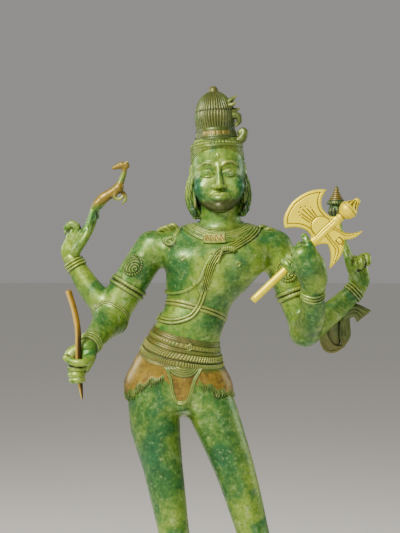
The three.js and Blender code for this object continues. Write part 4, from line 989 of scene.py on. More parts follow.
def wrapped(middle, axis, reach, size, start, end):
    """A finger round a bar: an arc about the bar's line from one angle to another, in degrees."""
    axis = unit(axis)
    first = np.array((0, 1, 0) if abs(axis[0]) > 0.5 else (1, 0, 0), float)
    u = unit(first - axis * (first @ axis))
    v = np.cross(axis, u)
    turn = np.radians(np.linspace(start, end, 6))[:, None]
    arc = np.array(middle, float) + (reach + 0.82 * size) * on_circle(turn, u, v)
    return arc, [size, size, size, 0.8 * size], 0.12


hand("right_front_hand", (-31, -18, 65), (-19, -6, 78), [
    ([(-23.8, -9.0, 75.7), (-24.5, -10.0, 75.0), (-24.4, -11.0, 73.4), (-25.0, -11.3, 71.2)],
     [1.7, 1.75, 1.7, 1.15], 0.4),
    ([(-24.3, -10.6, 74.6), (-26.0, -10.9, 74.6), (-27.6, -11.5, 73.6), (-27.4, -11.9, 72.4)],
     [1.3, 1.25, 1.15, 0.8], 0.4),
    ([(-23.7, -11.6, 73.6), (-23.9, -13.2, 72.9), (-25.0, -14.4, 72.4), (-26.8, -14.4, 72.5), (-28.3, -13.6, 73.2)],
     [1.0, 0.85, 0.74, 0.7, 0.55], 0.3),
    wrapped((-26.3, -12.6, 71.2), (0.03, 0, -1), ROD_GRIP, 0.66, 10, 300),
    wrapped((-26.3, -12.6, 70.0), (0.03, 0, -1), ROD_GRIP, 0.62, 10, 295),
    wrapped((-26.2, -12.65, 68.95), (0.05, 0, -1), ROD_GRIP, 0.56, 10, 285),
], [(-28.2, -14.2, 73.4)], [([(-27.1, -15.1, 84.4), *ROD_LINE[1:]], ROD_GRIP)])

HAFT_FOOT = np.array((6.9, -12.9, 83.9))
HAFT_AHEAD = unit((20.5, 0.3, 19.5))
HAFT_RADIUS_MM = 4.5
HAFT_GRIP = (HAFT_RADIUS_MM + GRIP_CLEARANCE_MM) * MM
knuckles = []
for run, size, knuckle in ((9.4, 0.76, (15.0, -14.7, 90.4)), (10.8, 0.84, (15.8, -15.0, 91.5)),
                           (12.3, 0.86, (16.6, -15.0, 92.5)), (13.7, 0.8, (17.4, -14.8, 93.1))):
    arc = wrapped(HAFT_FOOT + run * HAFT_AHEAD, HAFT_AHEAD, HAFT_GRIP, size, 215, -15)[0]
    knuckles.append((np.concatenate([[knuckle], arc]), [size * 1.15, size * 1.1, size, size, 0.8 * size], 0.16))
hand("left_front_hand", (8, -19, 83), (23, -8, 99), [
    ([(18.5, -10.4, 85.0), (18.4, -12.2, 87.4)], [2.0, 2.1], 0.6),
    ([(18.5, -10.6, 85.4), (18.3, -11.4, 86.3), (18.5, -12.9, 87.8), (17.7, -14.3, 90.0), (16.6, -14.9, 91.9)],
     [1.9, 1.95, 2.55, 2.95, 2.4], 0.6, 0.66),
    *knuckles,
    ([(19.0, -13.2, 89.2), (18.6, -14.3, 91.6), (17.5, -14.7, 94.0), (16.5, -14.4, 96.1)],
     [1.35, 1.15, 0.9, 0.6], 0.4),
], [(16.4, -15.0, 96.0)], [([HAFT_FOOT, HAFT_FOOT + 30 * HAFT_AHEAD], HAFT_GRIP)],
    [(16.9, 89.4, 2.6, 2.2, 0.9)])


# Head
# Cast with the body, on a canon of thirds: brow, nose and chin share the face evenly. Calm open
# eyes under arched brows, long ears with rings, and locks of hair behind them.
HEAD_SEAT = np.array((1.1, -0.9, 101.3))
HEAD_TILT = math.radians(-3.4)
FACE_HEIGHT = 13.0


def on_head(points):
    """Points in the head's own frame, tilted and set on the neck."""
    x, y, z = np.moveaxis(np.asarray(points, float), -1, 0)
    c, d = math.cos(HEAD_TILT), math.sin(HEAD_TILT)
    return np.stack([c * x + d * z, y, -d * x + c * z], -1) + HEAD_SEAT


# Height, middle across, middle in depth, half width, reach forward, reach back
SKULL = smooth_rows([
    (-0.4, 0, -2.6, 0.8, 1.0, 0.8), (0.0, 0, -2.5, 1.7, 1.8, 1.6), (0.8, 0, -1.9, 2.9, 2.75, 3.2),
    (2.2, 0, -1.1, 4.1, 3.45, 4.5), (4.6, 0, -0.4, 4.95, 4.2, 5.2), (7.4, 0, -0.1, 5.15, 4.5, 5.6),
    (9.4, 0, 0.0, 5.2, 4.75, 5.7), (12.3, 0, 0.1, 5.0, 4.8, 5.6), (14.5, 0, 0.2, 4.4, 4.3, 4.9),
])
head = Wax((-7.6, -7.6, -2.4), (7.6, 6.6, 14.6), 0.16)
head.sections(SKULL, (-6.6, -7, -1), (6.6, 6.6, 14.5), 2.15, -0.4, 14.4)
BROW, NOSE, MOUTH = 2 * FACE_HEIGHT / 3, FACE_HEIGHT / 3, 0.215 * FACE_HEIGHT
for s in (-1, 1):
    head.ball((s * 2.2, -5.35, BROW - 1.15), (1.9, 1.0, 0.85), 0.9, cut=True)
    head.ball((s * 3.0, -3.0, 4.6), (1.9, 1.7, 1.9), 1.2)
    head.limb([(s * 0.55, -4.7, BROW + 0.05), (s * 1.6, -4.78, BROW + 0.72), (s * 2.8, -4.42, BROW + 0.76),
               (s * 4.1, -3.3, BROW + 0.0)], [0.12, 0.2, 0.18, 0.08], 0.4)
    head.ball((s * 2.15, -3.6, BROW - 1.35), (1.72, 1.05, 0.86), 0.12, turn=(0, s * 3, s * 14))
    eye = [(0.66, -4.35), (1.3, -4.62), (2.1, -4.68), (2.9, -4.42), (3.75, -3.72)]
    for inset, drops, radii in ((0.0, (1.62, 1.0, 0.76, 0.95, 1.42), [0.07, 0.12, 0.13, 0.12, 0.06]),
                                (0.05, (1.66, 1.84, 1.98, 1.86, 1.44), [0.06, 0.08, 0.09, 0.08, 0.05])):
        head.limb([(s * x, y + inset, BROW - drop) for (x, y), drop in zip(eye, drops)], radii, 0.1)
    head.ball((s * 2.1, -4.66, BROW - 1.4), (0.2, 0.16, 0.2), 0.05, cut=True)
    head.ball((s * 0.84, -4.98, NOSE + 0.28), (0.5, 0.6, 0.44), 0.35)
    head.ball((s * 0.5, -5.4, NOSE - 0.1), (0.2, 0.26, 0.14), 0.12, cut=True)
    # The lips' halves
    head.limb([(s * 0.0, -5.24, MOUTH + 0.3), (s * 0.6, -5.22, MOUTH + 0.4), (s * 1.25, -4.92, MOUTH + 0.3),
               (s * 1.85, -4.5, MOUTH + 0.22)], [0.28, 0.31, 0.24, 0.12], 0.1)
    head.limb([(s * 0.0, -5.12, MOUTH - 0.46), (s * 0.6, -5.04, MOUTH - 0.42), (s * 1.2, -4.76, MOUTH - 0.14),
               (s * 1.7, -4.48, MOUTH + 0.12)], [0.42, 0.39, 0.25, 0.1], 0.1)
    head.ball((s * 1.95, -4.5, MOUTH + 0.24), (0.2, 0.28, 0.2), 0.2, cut=True)
    # The ears: rim, shell and long lobe
    head.limb([(s * 4.8, -0.5, 8.0), (s * 5.05, -0.3, 9.1), (s * 5.3, 0.7, 9.3), (s * 5.5, 1.3, 8.0),
               (s * 5.45, 0.9, 6.3), (s * 5.35, 0.3, 5.0)], [0.3, 0.34, 0.36, 0.34, 0.32, 0.36], 0.15)
    head.ball((s * 5.0, 0.5, 7.2), (0.55, 1.15, 1.9), 0.3)
    head.ball((s * 5.45, 0.1, 7.0), (0.4, 0.6, 0.9), 0.3, cut=True)
    head.limb([(s * 5.35, 0.1, 5.4), (s * 5.7, 0.35, 3.8), (s * 5.75, 0.3, 2.0), (s * 5.4, -0.2, 0.2)],
              [0.4, 0.36, 0.38, 0.45], 0.2)
    head.limb([(s * 5.1, -0.3, 5.2), (s * 5.0, -0.5, 3.4), (s * 4.95, -0.5, 1.8), (s * 5.1, -0.4, 0.4)],
              [0.4, 0.3, 0.3, 0.4], 0.2)
head.limb([(0, -4.55, BROW + 0.3), (0, -5.05, BROW - 1.4), (0, -5.45, NOSE + 0.95)], [0.42, 0.46, 0.64], 0.4)
head.ball((0, -5.58, NOSE + 0.42), (0.7, 0.56, 0.56), 0.35)
head.ball((0, -4.25, MOUTH), (2.0, 0.75, 1.3), 0.8)
head.limb([(0, -5.3, NOSE - 0.55), (0, -5.26, MOUTH + 0.7)], [0.08, 0.1], 0.3, cut=True)
head.limb([(-1.6, -4.95, MOUTH + 0.14), (-0.6, -5.44, MOUTH - 0.05), (0, -5.52, MOUTH), (0.6, -5.44, MOUTH - 0.05),
           (1.6, -4.95, MOUTH + 0.14)], [0.06, 0.08, 0.08, 0.08, 0.06], 0.08, cut=True)
head.ball((0, -4.25, 0.85), (1.25, 0.95, 0.9), 0.6)
# The upright mark on the forehead
head.limb([(0, -4.72, BROW + 1.35), (0, -4.74, BROW + 2.0), (0, -4.68, BROW + 2.7)], [0.08, 0.3, 0.08], 0.1)


def head_marks(points, relief):
    """Dark green cheeks, a tanned chin darkened by painted shade under it, and the strokes of the hair combed over
    the back.
    """
    x, y, z = points.T
    cheeks = ramp(np.abs(x), 2.9, 3.9) * ramp(z, 7.4, 6.2)
    # The chin is brown patina, deepened with green and hollow colour as painted shade where it turns down from the
    # light.
    chin = ramp(z, 2.7, 1.7)
    nape = ramp(y, 0.8, 1.8) * ramp(z, 4, 6)
    strokes = np.cos(34 * np.arctan2(x, y) + 0.8 * z)
    return {"relief": np.maximum(relief, -0.32) * (1 - nape) + nape * (0.7 * strokes - 0.25) - 0.3 * chin,
            "stain": np.maximum(cheeks, 0.9 * chin), "tan": 0.6 * chin}


head.cast("head", head_marks, on_head)


# Piled hair and crown
# The matted locks are drawn up in two tiers of upright strands, bound by jewelled bands, over a
# headband of slanting leaves that rises in the middle. All of it is chased, and cast with the head.
def round_rings(*rings):
    """Rings that are true circles about the axis, from their heights and radii."""
    return [(z, 0, radius, radius, radius) for z, radius in rings]


def turned(name, rings, lift_of, sides, material=dark_bronze, slot="patinated_bronze", place=on_head,
           pitch=0.08, contrast=1.0, **marks):
    """A closed turned form. Rings give height, middle in depth, half width, reach fore and aft; its
    lift and its marks are functions of the turn and the height."""
    heights = np.linspace(rings[0][0], rings[-1][0], max(int((rings[-1][0] - rings[0][0]) / pitch), 12))
    turn, z = np.meshgrid(even_turns(sides), heights, indexing="ij")
    y, half, front, back = smooth_rows(rings)(z)
    lift = lift_of(turn, z)
    points = round_section((0, y, half, front, back), z, turn, lift)
    ends = round_section((0, y, 0, 0, 0), z, turn, CLOSING_RADIUS)[:, [0, -1]]
    points = np.concatenate([ends[:, :1], points, ends[:, 1:]], axis=1)
    kept = {"relief": contrast * shaded(lift, 5, 95), **{mark: of(turn, z) + 0 * z for mark, of in marks.items()}}
    return cast(name, place(points).reshape(-1, 3), net(*points.shape[:2], True, False), material, slot,
                **{mark: np.pad(values, CAPPED, mode="edge") for mark, values in kept.items()})


HAIR_STRANDS, TIER_HEIGHT = 44, 19.9


def strands(turn, z):
    """Upright locks in two tiers, parted by a thin line where the lower ones are tied."""
    shift = 0.25 * np.sin(3 * turn + 0.8 * z) * (z < TIER_HEIGHT)
    lock = nearest(turn * HAIR_STRANDS / (2 * math.pi) + shift, 1.0)
    hairs = 0.5 + 0.5 * np.cos(turn * 3 * HAIR_STRANDS + 1.4 * z)
    tier = 0.16 * np.exp(-((z - TIER_HEIGHT) / 0.1) ** 2)
    return 0.27 * dome(lock, 0.52) + 0.03 * hairs - tier


turned("piled_hair", [(15.4, 0.3, 3.5, 3.85, 4.0), (16.7, 0.3, 3.6, 3.95, 4.1), (18.6, 0.3, 3.8, 4.15, 4.3),
                      (19.9, 0.3, 3.7, 4.0, 4.1), (21.1, 0.3, 3.35, 3.6, 3.7), (22.3, 0.3, 2.75, 2.95, 3.0),
                      (23.3, 0.3, 1.85, 1.95, 2.0), (23.9, 0.3, 1.0, 1.0, 1.0)], strands, 468,
       pitch=0.17, contrast=0.85, tan=lambda turn, z: 0.2 + 0.2 * np.cos(turn))
turned("hair_knob", [(23.4, 0.3, 1.1, 1.15, 1.15), (23.9, 0.3, 0.98, 1.0, 1.0), (24.5, 0.3, 0.88, 0.88, 0.88),
                     (24.9, 0.3, 0.62, 0.62, 0.62), (25.12, 0.3, 0.15, 0.15, 0.15)],
       lambda turn, z: 0 * z, 72, contrast=0.0, tan=lambda turn, z: 0.7)
JEWEL_COUNT, JEWEL_MIDDLE = 22, 15.35


def set_front(turn):
    """The front of the crown, where its stones are set."""
    return ramp(np.cos(turn), 0.72, 0.82)


def crown_lift(turn, z):
    """The bound foot of the piled hair: a band set with stones in front, between cords."""
    jewel = nearest(turn * JEWEL_COUNT / (2 * math.pi) + 0.5, 1.0)
    stone = plateau(np.maximum(np.abs(jewel) * 2.6, np.abs(z - JEWEL_MIDDLE) * 2.4), -1, 1.0, 0.25)
    front = set_front(turn)
    return (0.06 + 0.14 * ridges(z, (14.05, 14.35, 16.05, 16.35), 0.14) + 0.1 * plateau(z, 14.6, 15.9)
            + 0.1 * stone * front + 0.08 * ridges(z, (14.75,), 0.1)
            + 0.05 * np.cos(turn * 48) * plateau(z, 14.9, 15.85) * (1 - front))


turned("crown_band", [(13.4, 0.2, 4.15, 4.35, 4.9), (14.2, 0.25, 4.2, 4.55, 4.8), (15.0, 0.3, 4.0, 4.45, 4.6),
                      (16.2, 0.3, 3.75, 4.2, 4.4), (16.7, 0.3, 3.5, 3.95, 4.1)], crown_lift, 384,
       pitch=0.11, contrast=0.7, hide=lambda turn, z: 0.5 * plateau(z, 14.9, 15.85) * set_front(turn),
       tan=lambda turn, z: 0.25)


# Below the headband a fringe of fine lines follows the hair's edge down to the temples
FRINGE_LOW, HEADBAND_LOW, HEADBAND_HIGH = 10.95, 12.35, 13.65
HEADBAND_SIDES, HEADBAND_ROWS, BAND_LEAVES = 460, 36, 46
U, V = np.meshgrid(even_turns(HEADBAND_SIDES), np.linspace(FRINGE_LOW, HEADBAND_HIGH, HEADBAND_ROWS), indexing="ij")
fore = np.cos(U)
fringe = np.clip(HEADBAND_LOW - V, 0, 9)
z = np.maximum(V, HEADBAND_LOW) + 0.33 * fore - fringe * (0.3 + 1.9 * np.clip(1 - fore, 0, 0.75))
skull = SKULL(np.clip(z, 0, 14.4))
band_leaf = 0.5 + 0.5 * np.cos(U * BAND_LEAVES + np.sign(np.sin(U)) * (V - 13.0) * 3.6)
headband_lift = np.where(
    fringe > 0, 0.05 + 0.13 * ridges(V, (11.1, 11.45, 11.8, 12.15), 0.13),
    0.12 + 0.16 * ridges(V, (12.47, 12.72), 0.11) + plateau(V, 12.86, 13.4) * (0.14 + 0.16 * band_leaf)
    + 0.16 * ridges(V, (13.54,), 0.1))
relief = np.where(fringe > 0, headband_lift * 7 - 0.9, headband_lift * 3.6 - 1.0)
points = np.concatenate([round_section(skull, z, U, 0.05 + headband_lift),
                         round_section(skull, z, U, 0.05 - SINK)[:, [-1, 0]]], axis=1)
cast("headband", on_head(points).reshape(-1, 3), net(*points.shape[:2], True, True),
     relief=np.pad(relief, ((0, 0), (0, 2)), mode="edge"), tan=np.full(points.shape[:2], 0.45))


# Locks behind the ears and round the nape, the rings in the ears, and what is set in the hair:
# flower points and the crescent moon, on the figure's left. Modelled in the wax and cast with the head.
locks = Wax((-8.4, -3.6, -3.4), (8.4, 8.0, 25), 0.18)
# Height and reach to the side of the outermost lock
LOCK_EDGE = ((8.8, 5.0), (7.0, 5.85), (4.8, 6.45), (2.6, 6.55), (0.8, 6.15), (-0.9, 5.3))
for s in (-1, 1):
    for k in range(7):
        inward = (0, 0.62, 1.2, 0.25, 0.85, 1.5, 2.2)[k]
        behind = (0.0, -0.35, 0.1, 1.2, 1.1, 2.2, 3.2)[k]
        wave = 0.16 * math.sin(1.7 * k)
        locks.limb([(s * (reach - 0.4 - inward) - 0.25, behind + wave * math.cos(2.1 * n), height)
                    for n, (height, reach) in enumerate(LOCK_EDGE)], [0.3, 0.5, 0.52, 0.48, 0.34], 0.1)
    locks.ball((s * 5.15 - 0.1, -1.1, 0.2), (0.6, 0.5, 1.1), 0.05, turn=(0, s * 16, 0))
locks.ball((0, 3.6, 4.5), (4.2, 2.9, 5.5), 0.8)
for points, radii in (
    ([(2.6, -1.2, 21.2), (3.5, -1.3, 22.0), (4.5, -1.4, 22.8)], [0.75, 0.5, 0.12]),
    ([(3.0, -1.2, 19.9), (4.1, -1.3, 19.9), (5.1, -1.4, 20.1)], [0.7, 0.42, 0.12]),
    ([(2.9, -2.0, 20.8), (3.7, -2.3, 20.9), (4.2, -2.4, 21.4)], [0.5, 0.4, 0.12]),
    ([(3.1, -1.4, 18.9), (4.5, -1.6, 18.6), (4.7, -1.6, 17.6), (4.0, -1.5, 16.8)], [0.8, 0.7, 0.55, 0.3]),
    ([(4.1, -1.2, 13.6), (5.0, -1.3, 14.2), (5.6, -1.3, 15.4), (5.5, -1.3, 15.9)], [0.85, 0.95, 0.75, 0.45]),
    ([(4.6, -1.2, 15.4), (5.3, -1.3, 15.9), (6.0, -1.3, 15.6)], [0.5, 0.5, 0.25]),
):
    locks.limb(points, radii, 0.15)


def lock_marks(points, relief):
    """Hairs drawn along the locks, dark green rings in the ears, and tanned ornaments above."""
    x, y, z = points.T
    hairs = 0.65 * np.cos(10 * np.abs(x) + 5 * y + 1.2 * np.cos(3 * z)) - 0.0625
    earring = (y < -0.7) & (z < 2)
    return {"relief": np.where(z < 11, np.minimum(relief + 0.25, hairs), relief) - 0.15 * earring,
            "stain": np.maximum(0.8 * earring, 0.5 * (z > 11)), "tan": np.where(z < 11, 0.15, 0.6) * (1 - earring)}


locks.cast("locks_and_earrings", lock_marks, on_head)


# Deer
# A small antelope that springs from the right back hand's fingertips and looks back over its
# shoulder. Its back and head are rubbed to gold.
deer = Wax((-26.5, -1.5, 98), (-15.5, 4.2, 113), 0.14)
for points, radii, blend in (
    ([(-23.7, 1.5, 102.6), (-22.6, 1.4, 104.0), (-20.8, 1.35, 105.2), (-19.4, 1.3, 106.2)],
     [1.0, 1.15, 0.95, 1.05], 0.3),
    ([(-24.3, 1.1, 100.0), (-24.5, 1.0, 101.6), (-23.6, 1.1, 103.0)], [0.5, 0.6, 0.95], 0.25),
    ([(-23.8, 2.1, 100.4), (-23.9, 2.0, 102.0), (-23.0, 1.9, 103.4)], [0.5, 0.6, 0.95], 0.25),
    ([(-19.5, 1.3, 106.0), (-18.8, 1.3, 107.8), (-18.25, 1.3, 109.4), (-18.2, 1.3, 110.5)],
     [0.9, 0.66, 0.55, 0.55], 0.3),
    ([(-17.8, 1.3, 110.7), (-18.8, 1.3, 110.75), (-20.4, 1.3, 110.2)], [0.66, 0.75, 0.4], 0.2),
    ([(-18.0, 0.9, 111.1), (-17.5, 0.6, 111.5)], [0.26, 0.12], 0.1),
    ([(-18.0, 1.7, 111.1), (-17.6, 2.1, 111.4)], [0.26, 0.12], 0.1),
    ([(-19.8, 0.8, 105.4), (-20.2, 0.65, 104.3), (-19.2, 0.5, 103.9), (-18.4, 0.5, 104.5)],
     [0.5, 0.4, 0.34, 0.28], 0.2),
    ([(-19.2, 1.8, 105.7), (-18.2, 2.0, 104.9), (-18.0, 2.0, 103.9), (-18.6, 2.0, 103.2)],
     [0.5, 0.4, 0.34, 0.26], 0.2),
):
    deer.limb(points, radii, blend)
for y in (0.75, 1.85):
    deer.ball((-19.2, y, 110.85), (0.14, 0.12, 0.14), 0.05, cut=True)


def deer_marks(points, relief):
    """Rubbed along the back and on the head, green on the neck and the legs."""
    x, z = points[:, 0], points[:, 2]
    rubbed = ramp(z - 0.25 * (x + 24), 101.8, 103.4) * (1 - 0.65 * plateau(z, 106.9, 109.9, 0.6))
    legs = ramp(z, 105.0, 104.2) * (x > -20.6)
    return {"hide": 0.62 * rubbed * (1 - legs), "tan": 0.8 * rubbed}


deer.cast("deer", deer_marks)


# Covered pot
# A small pot of flame with a reeded neck and a conical cover, on the left back hand's fingertips.
POT_FOOT = (24.5, 1.8, 98.0)
POT_RINGS = round_rings((0.0, 0.5), (0.4, 0.8), (1.6, 0.6), (2.6, 1.3), (3.4, 1.65), (4.2, 1.5), (4.65, 1.3),
                        (4.95, 1.95), (5.3, 1.9), (5.9, 1.45), (6.8, 0.95), (7.7, 0.5), (8.2, 0.42), (8.6, 0.08))


def on_fingertips(points):
    """Points in the pot's own frame, set on the fingertips."""
    return np.asarray(points, float) + POT_FOOT


turned("covered_pot", POT_RINGS, lambda turn, z: (
    0.09 * np.cos(turn * 12) * plateau(z, 2.4, 4.4, 0.5) + 0.07 * np.cos(z * 15) * plateau(z, 5.2, 8.3, 0.3)
    + 0.05 * np.cos(turn * 22) * plateau(z, 4.8, 5.35, 0.15)), 96, place=on_fingertips, pitch=0.12,
    hide=lambda turn, z: 0.55 * plateau(z, 5.6, 8.4, 0.4))


# Scarf end
# The sash's end hangs in a loop behind the left elbow, turns up and flares out in pleats.
scarf = Wax((18.5, -1.5, 70.5), (33.5, 7, 85), 0.155)
SCARF_LOOP = [(21.0, 1.6, 79.4), (21.9, 2.2, 76.4), (23.2, 2.8, 74.0), (25.2, 2.8, 73.8), (26.3, 2.8, 76.0),
              (26.3, 2.9, 79.8)]
for side in (-0.84, -0.28, 0.28, 0.84):
    scarf.limb([(x + side * (0.9 if x > 25.5 else -0.9), y - 0.15 * abs(side),
                 z - 0.55 * side * (22.5 < x < 25.5)) for x, y, z in SCARF_LOOP],
               [0.3, 0.33, 0.36, 0.36, 0.32, 0.3], 0.04, pieces=30)
scarf.limb([(23.9, 3.4, 79.5), (24.1, 3.4, 77.2), (24.2, 3.4, 75.0)], [1.5, 1.6, 1.4], 0.1, flat=0.18)
for k in range(7):
    spread = k / 6
    scarf.limb([(26.0 + 0.5 * spread, 2.8, 78.6 + 0.2 * k),
                (26.2 + 1.0 * spread, 2.8 - 0.3 * (k % 2), 81.4 - 1.1 * spread),
                (28.0 + 0.5 * spread, 2.8 - 0.35 * (k % 2), 82.6 - 2.1 * spread),
                (31.4 - 0.42 * k, 2.8, 81.4 - 0.34 * k)], [0.4, 0.42, 0.42, 0.24], 0.04)
# The sheet at the back of the loop is darkened deep green as painted shade inside the loop.
scarf.cast("scarf_end", lambda points, relief: {
    "relief": np.clip(1.7 * relief, -0.8, 1), "tan": np.clip((76.5 - points[:, 2]) / 2.5, 0, 0.8),
    "stain": 0.9 * (points[:, 1] > 3.2)}, material=dark_bronze)


# Axe
# A loose axe of yellow brass, cast in one, polished and engraved on both faces: a crescent blade,
# two horns behind it and a bud at the end. The left front fist grips its plain round haft.
# Yellow brass rubbed bright by hand: warm, with smeared highlights, and dark wax in the engraving.
HANDLING_CLOUD_MM = 40
POLISH_SMEAR_MM = 9
POLISH_SCRATCH_MM = 1.4  # real ones are hair-fine; drawn coarser so that they show
yellow_brass = coloured_metal("polished_yellow_brass", {
    "cloud": (HANDLING_CLOUD_MM, 3, 0.55, 0.3), "smear": (POLISH_SMEAR_MM, 4, 0.6, 0.5),
    "scratch": (POLISH_SCRATCH_MM, 2, 0.5, 0)}, "#f4e40a", [
    ("cloud", 0.42, 0.66, 0.4, "#e2c814", None), ("smear", 0.54, 0.74, 0.3, "#b89e1a", None),
    ("relief", 0.3, 1.0, 0.4, "#f8e65c", None), ("relief", -0.1, -0.6, 0.92, "#5a4410", None)],
    ("scratch", 0.12, 0.0003), roughness=("smear", 0.3, 0.7, 0.38, 0.5), Metallic=0.5)
HAFT_THROUGH = unit(np.cross(HAFT_AHEAD, (-HAFT_AHEAD[2], 0, HAFT_AHEAD[0])))
HAFT_SIDE = np.cross(HAFT_THROUGH, HAFT_AHEAD)
# The head's outline in mm from the haft's butt and middle line: for each bend a guide and an end
AXE_OUTLINE = [
    (102, -4.5), (102, 0), (102, 4.5), (111, 6), (110, 15), (109, 27), (92.5, 37.7), (97, 52), (122, 55.5),
    (150, 55), (163.8, 36.8), (141, 34), (143, 15), (143, 7), (150, 4.6), (150, 0), (150, -5), (142, -7),
    (141.5, -13), (143, -23), (161.7, -31.7), (146, -34), (137, -24), (133.7, -26.2), (130.5, -28.5),
    (124, -38), (96.3, -37.5), (114, -27), (117, -13.5), (113, -7), (104, -4.5), (103, -4.5), (102, -4.5),
]


def on_axe(points):
    """Points along the haft, to the blade's side and through the head, in mm, in angulas."""
    points = np.asarray(points, float) * MM
    return HAFT_FOOT + points[..., :1] * HAFT_AHEAD + points[..., 1:2] * HAFT_SIDE + points[..., 2:] * HAFT_THROUGH


def from_line(x, y, line):
    """Distance from a line through points."""
    best = np.full(np.broadcast(x, y).shape, 99.0)
    for (ax, ay), (bx, by) in zip(line[:-1], line[1:]):
        wide, tall = bx - ax, by - ay
        t = np.clip(((x - ax) * wide + (y - ay) * tall) / max(wide ** 2 + tall ** 2, 1e-9), 0, 1)
        best = np.minimum(best, np.hypot(x - ax - t * wide, y - ay - t * tall))
    return best


def groove(distance, half, depth):
    """The depth of a round-bottomed groove at a distance from its middle."""
    return depth * np.exp(-(distance / half) ** 2)


t = np.linspace(0, 1, 15)[:, None]
bends = np.array(AXE_OUTLINE, float)
outline = np.concatenate([(1 - t) ** 2 * a + 2 * t * (1 - t) * g + t ** 2 * b
                          for a, g, b in zip(bends[:-2:2], bends[1:-1:2], bends[2::2])])
axe = Wax((90, -40.5, -6.5), (167, 58, 6.5), 0.58)
_, (x, y, z) = axe.patch(axe.low, axe.low + axe.step * axe.count)
flat_x, flat_y = x[:, :, 0], y[:, :, 0]
inside = np.zeros(np.broadcast(flat_x, flat_y).shape, bool)
for (ax, ay), (bx, by) in zip(outline, np.roll(outline, -1, axis=0)):
    if ay != by:
        inside ^= ((ay > flat_y) != (by > flat_y)) & (flat_x < (bx - ax) * (flat_y - ay) / (by - ay) + ax)
edge = from_line(flat_x, flat_y, np.concatenate([outline, outline[:1]])) * np.where(inside, -1, 1)
# In mm: half the blade's thickness at its edge, what it swells by inside, and the hub's radius
EDGE_HALF, SWELL, HUB_RADIUS = 1.3, 2.2, 12.6
face = EDGE_HALF + SWELL * np.sqrt(1 - (1 - np.clip(-edge / 2.4, 0, 1)) ** 2)
hub = np.hypot(flat_x - 126.5, flat_y - 8.0)
face += 0.35 * np.clip((HUB_RADIUS - hub) / 0.8, 0, 1) * (flat_y > -1)
face = np.maximum(face, (4.6 - 0.05 * flat_y ** 2) * (edge < -0.6))
engraved = 0 * face
beads = 0 * face
# Each engraved line: its points, half width and depth in mm
for line, half, depth in [
    (curve([(112, 4.9), (127, 5.2), (143, 5.0)], 12), 0.45, 0.6),
    (curve([(112, 1.7), (127, 2.0), (143, 1.8)], 12), 0.45, 0.6),
    (curve([(122.4, -3.5), (121.3, -12), (119, -26), (103, -36)], 30), 0.4, 0.5),
    (curve([(125.6, -3.5), (124.4, -12), (122.3, -28), (108, -36)], 30), 0.4, 0.5),
    (curve([(134.6, -3.5), (137.6, -12), (141, -22.5), (156, -30.2)], 30), 0.4, 0.5),
    (curve([(137.8, -3.5), (139.9, -12), (143.6, -21.2), (156, -29)], 30), 0.4, 0.5),
    ([(127.2, -17.5), (127.2, -24.5), (129.4, -24.5), (129.4, -27.4)], 0.45, 0.8),
    ([(133.8, -17.5), (133.8, -24.5), (131.6, -24.5), (131.6, -27.4)], 0.45, 0.8),
    ([(127.2, -17.5), (133.8, -17.5)], 0.45, 0.7),
] + [([(a, 21.5), (b, c)], 0.5, 0.6) for a, b, c in (
        (119.3, 116.9, 33.6), (122.3, 119.4, 37.3), (125.2, 124.3, 39.8), (128.1, 128.9, 37.0),
        (130.9, 132.7, 32.0))]:
    engraved = np.maximum(engraved, groove(from_line(flat_x, flat_y, line), half, depth))
for a, b in ((116.3, 36.4), (118.7, 40.2), (124.2, 43.2), (129.3, 40.0), (133.4, 34.6)):
    engraved = np.maximum(engraved, groove(np.hypot(flat_x - a, flat_y - b), 0.75, 0.7))
engraved = np.maximum(engraved, groove(edge + 4.6, 0.5, 0.6) * (flat_y > 15))
engraved = np.maximum(engraved, groove(hub - 12.9, 0.5, 0.6) * (flat_y > 6))
for line in (curve([(113, 3.3), (127, 3.6), (142, 3.4)], 16),
             curve([(124, -4.5), (122.8, -12), (120.6, -27), (106, -35.8)], 20),
             curve([(136.2, -4.5), (138.7, -12), (142.3, -21.8), (155, -29.4)], 16)):
    for a, b in line:
        beads = np.maximum(beads, 0.5 * dome(np.minimum(np.hypot(flat_x - a, flat_y - b), 1.0), 1.0))
face = (face + beads - engraved)[:, :, None]
edge = edge[:, :, None]
depth = np.abs(z)
outside = np.hypot(edge, np.maximum(depth - EDGE_HALF, 0))
axe.field = np.where(edge > 0, outside, np.maximum(depth - face, edge)).astype(np.float32)
axe_points, axe_faces, _ = axe.skin()
i, j = np.clip(((axe_points[:, :2] - axe.low[:2]) / axe.step).astype(int), 0, np.array(engraved.shape) - 1).T
line_shade = np.where(np.abs(axe_points[:, 2]) > 1.5, 0.5 * beads[i, j] - 2.2 * engraved[i, j], 0)
axe_head = cast("axe_head", on_axe(axe_points), axe_faces, yellow_brass, "polished_brass", relief=line_shade)
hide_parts("axe")


# The haft and, past the head, the bud: a smooth cup, a ring, and a cone of slanting ribs
def along_haft(points):
    """Points of a form turned about Z, laid along the haft."""
    return on_axe(points[..., [2, 0, 1]])


turned("axe_haft", round_rings((0, 4.1), (0.5, 4.45), (1.2, HAFT_RADIUS_MM), (100, HAFT_RADIUS_MM), (106, 4.4)),
       lambda turn, z: 0 * z, 64, yellow_brass, "polished_brass", along_haft, pitch=5.0, contrast=0.0)


def bud_lift(turn, z):
    ribs = 0.5 + 0.5 * np.cos(9 * turn + 0.5 * (z - 169))
    return (0.5 * ridges(z, (150.5, 152.4, 166.2, 168.9), 0.8) - 0.9 * (1 - ribs) * plateau(z, 170.5, 182, 1.0)
            - groove(np.minimum(np.abs(z - 154.2), np.abs(z - 167.6)), 0.6, 0.9))


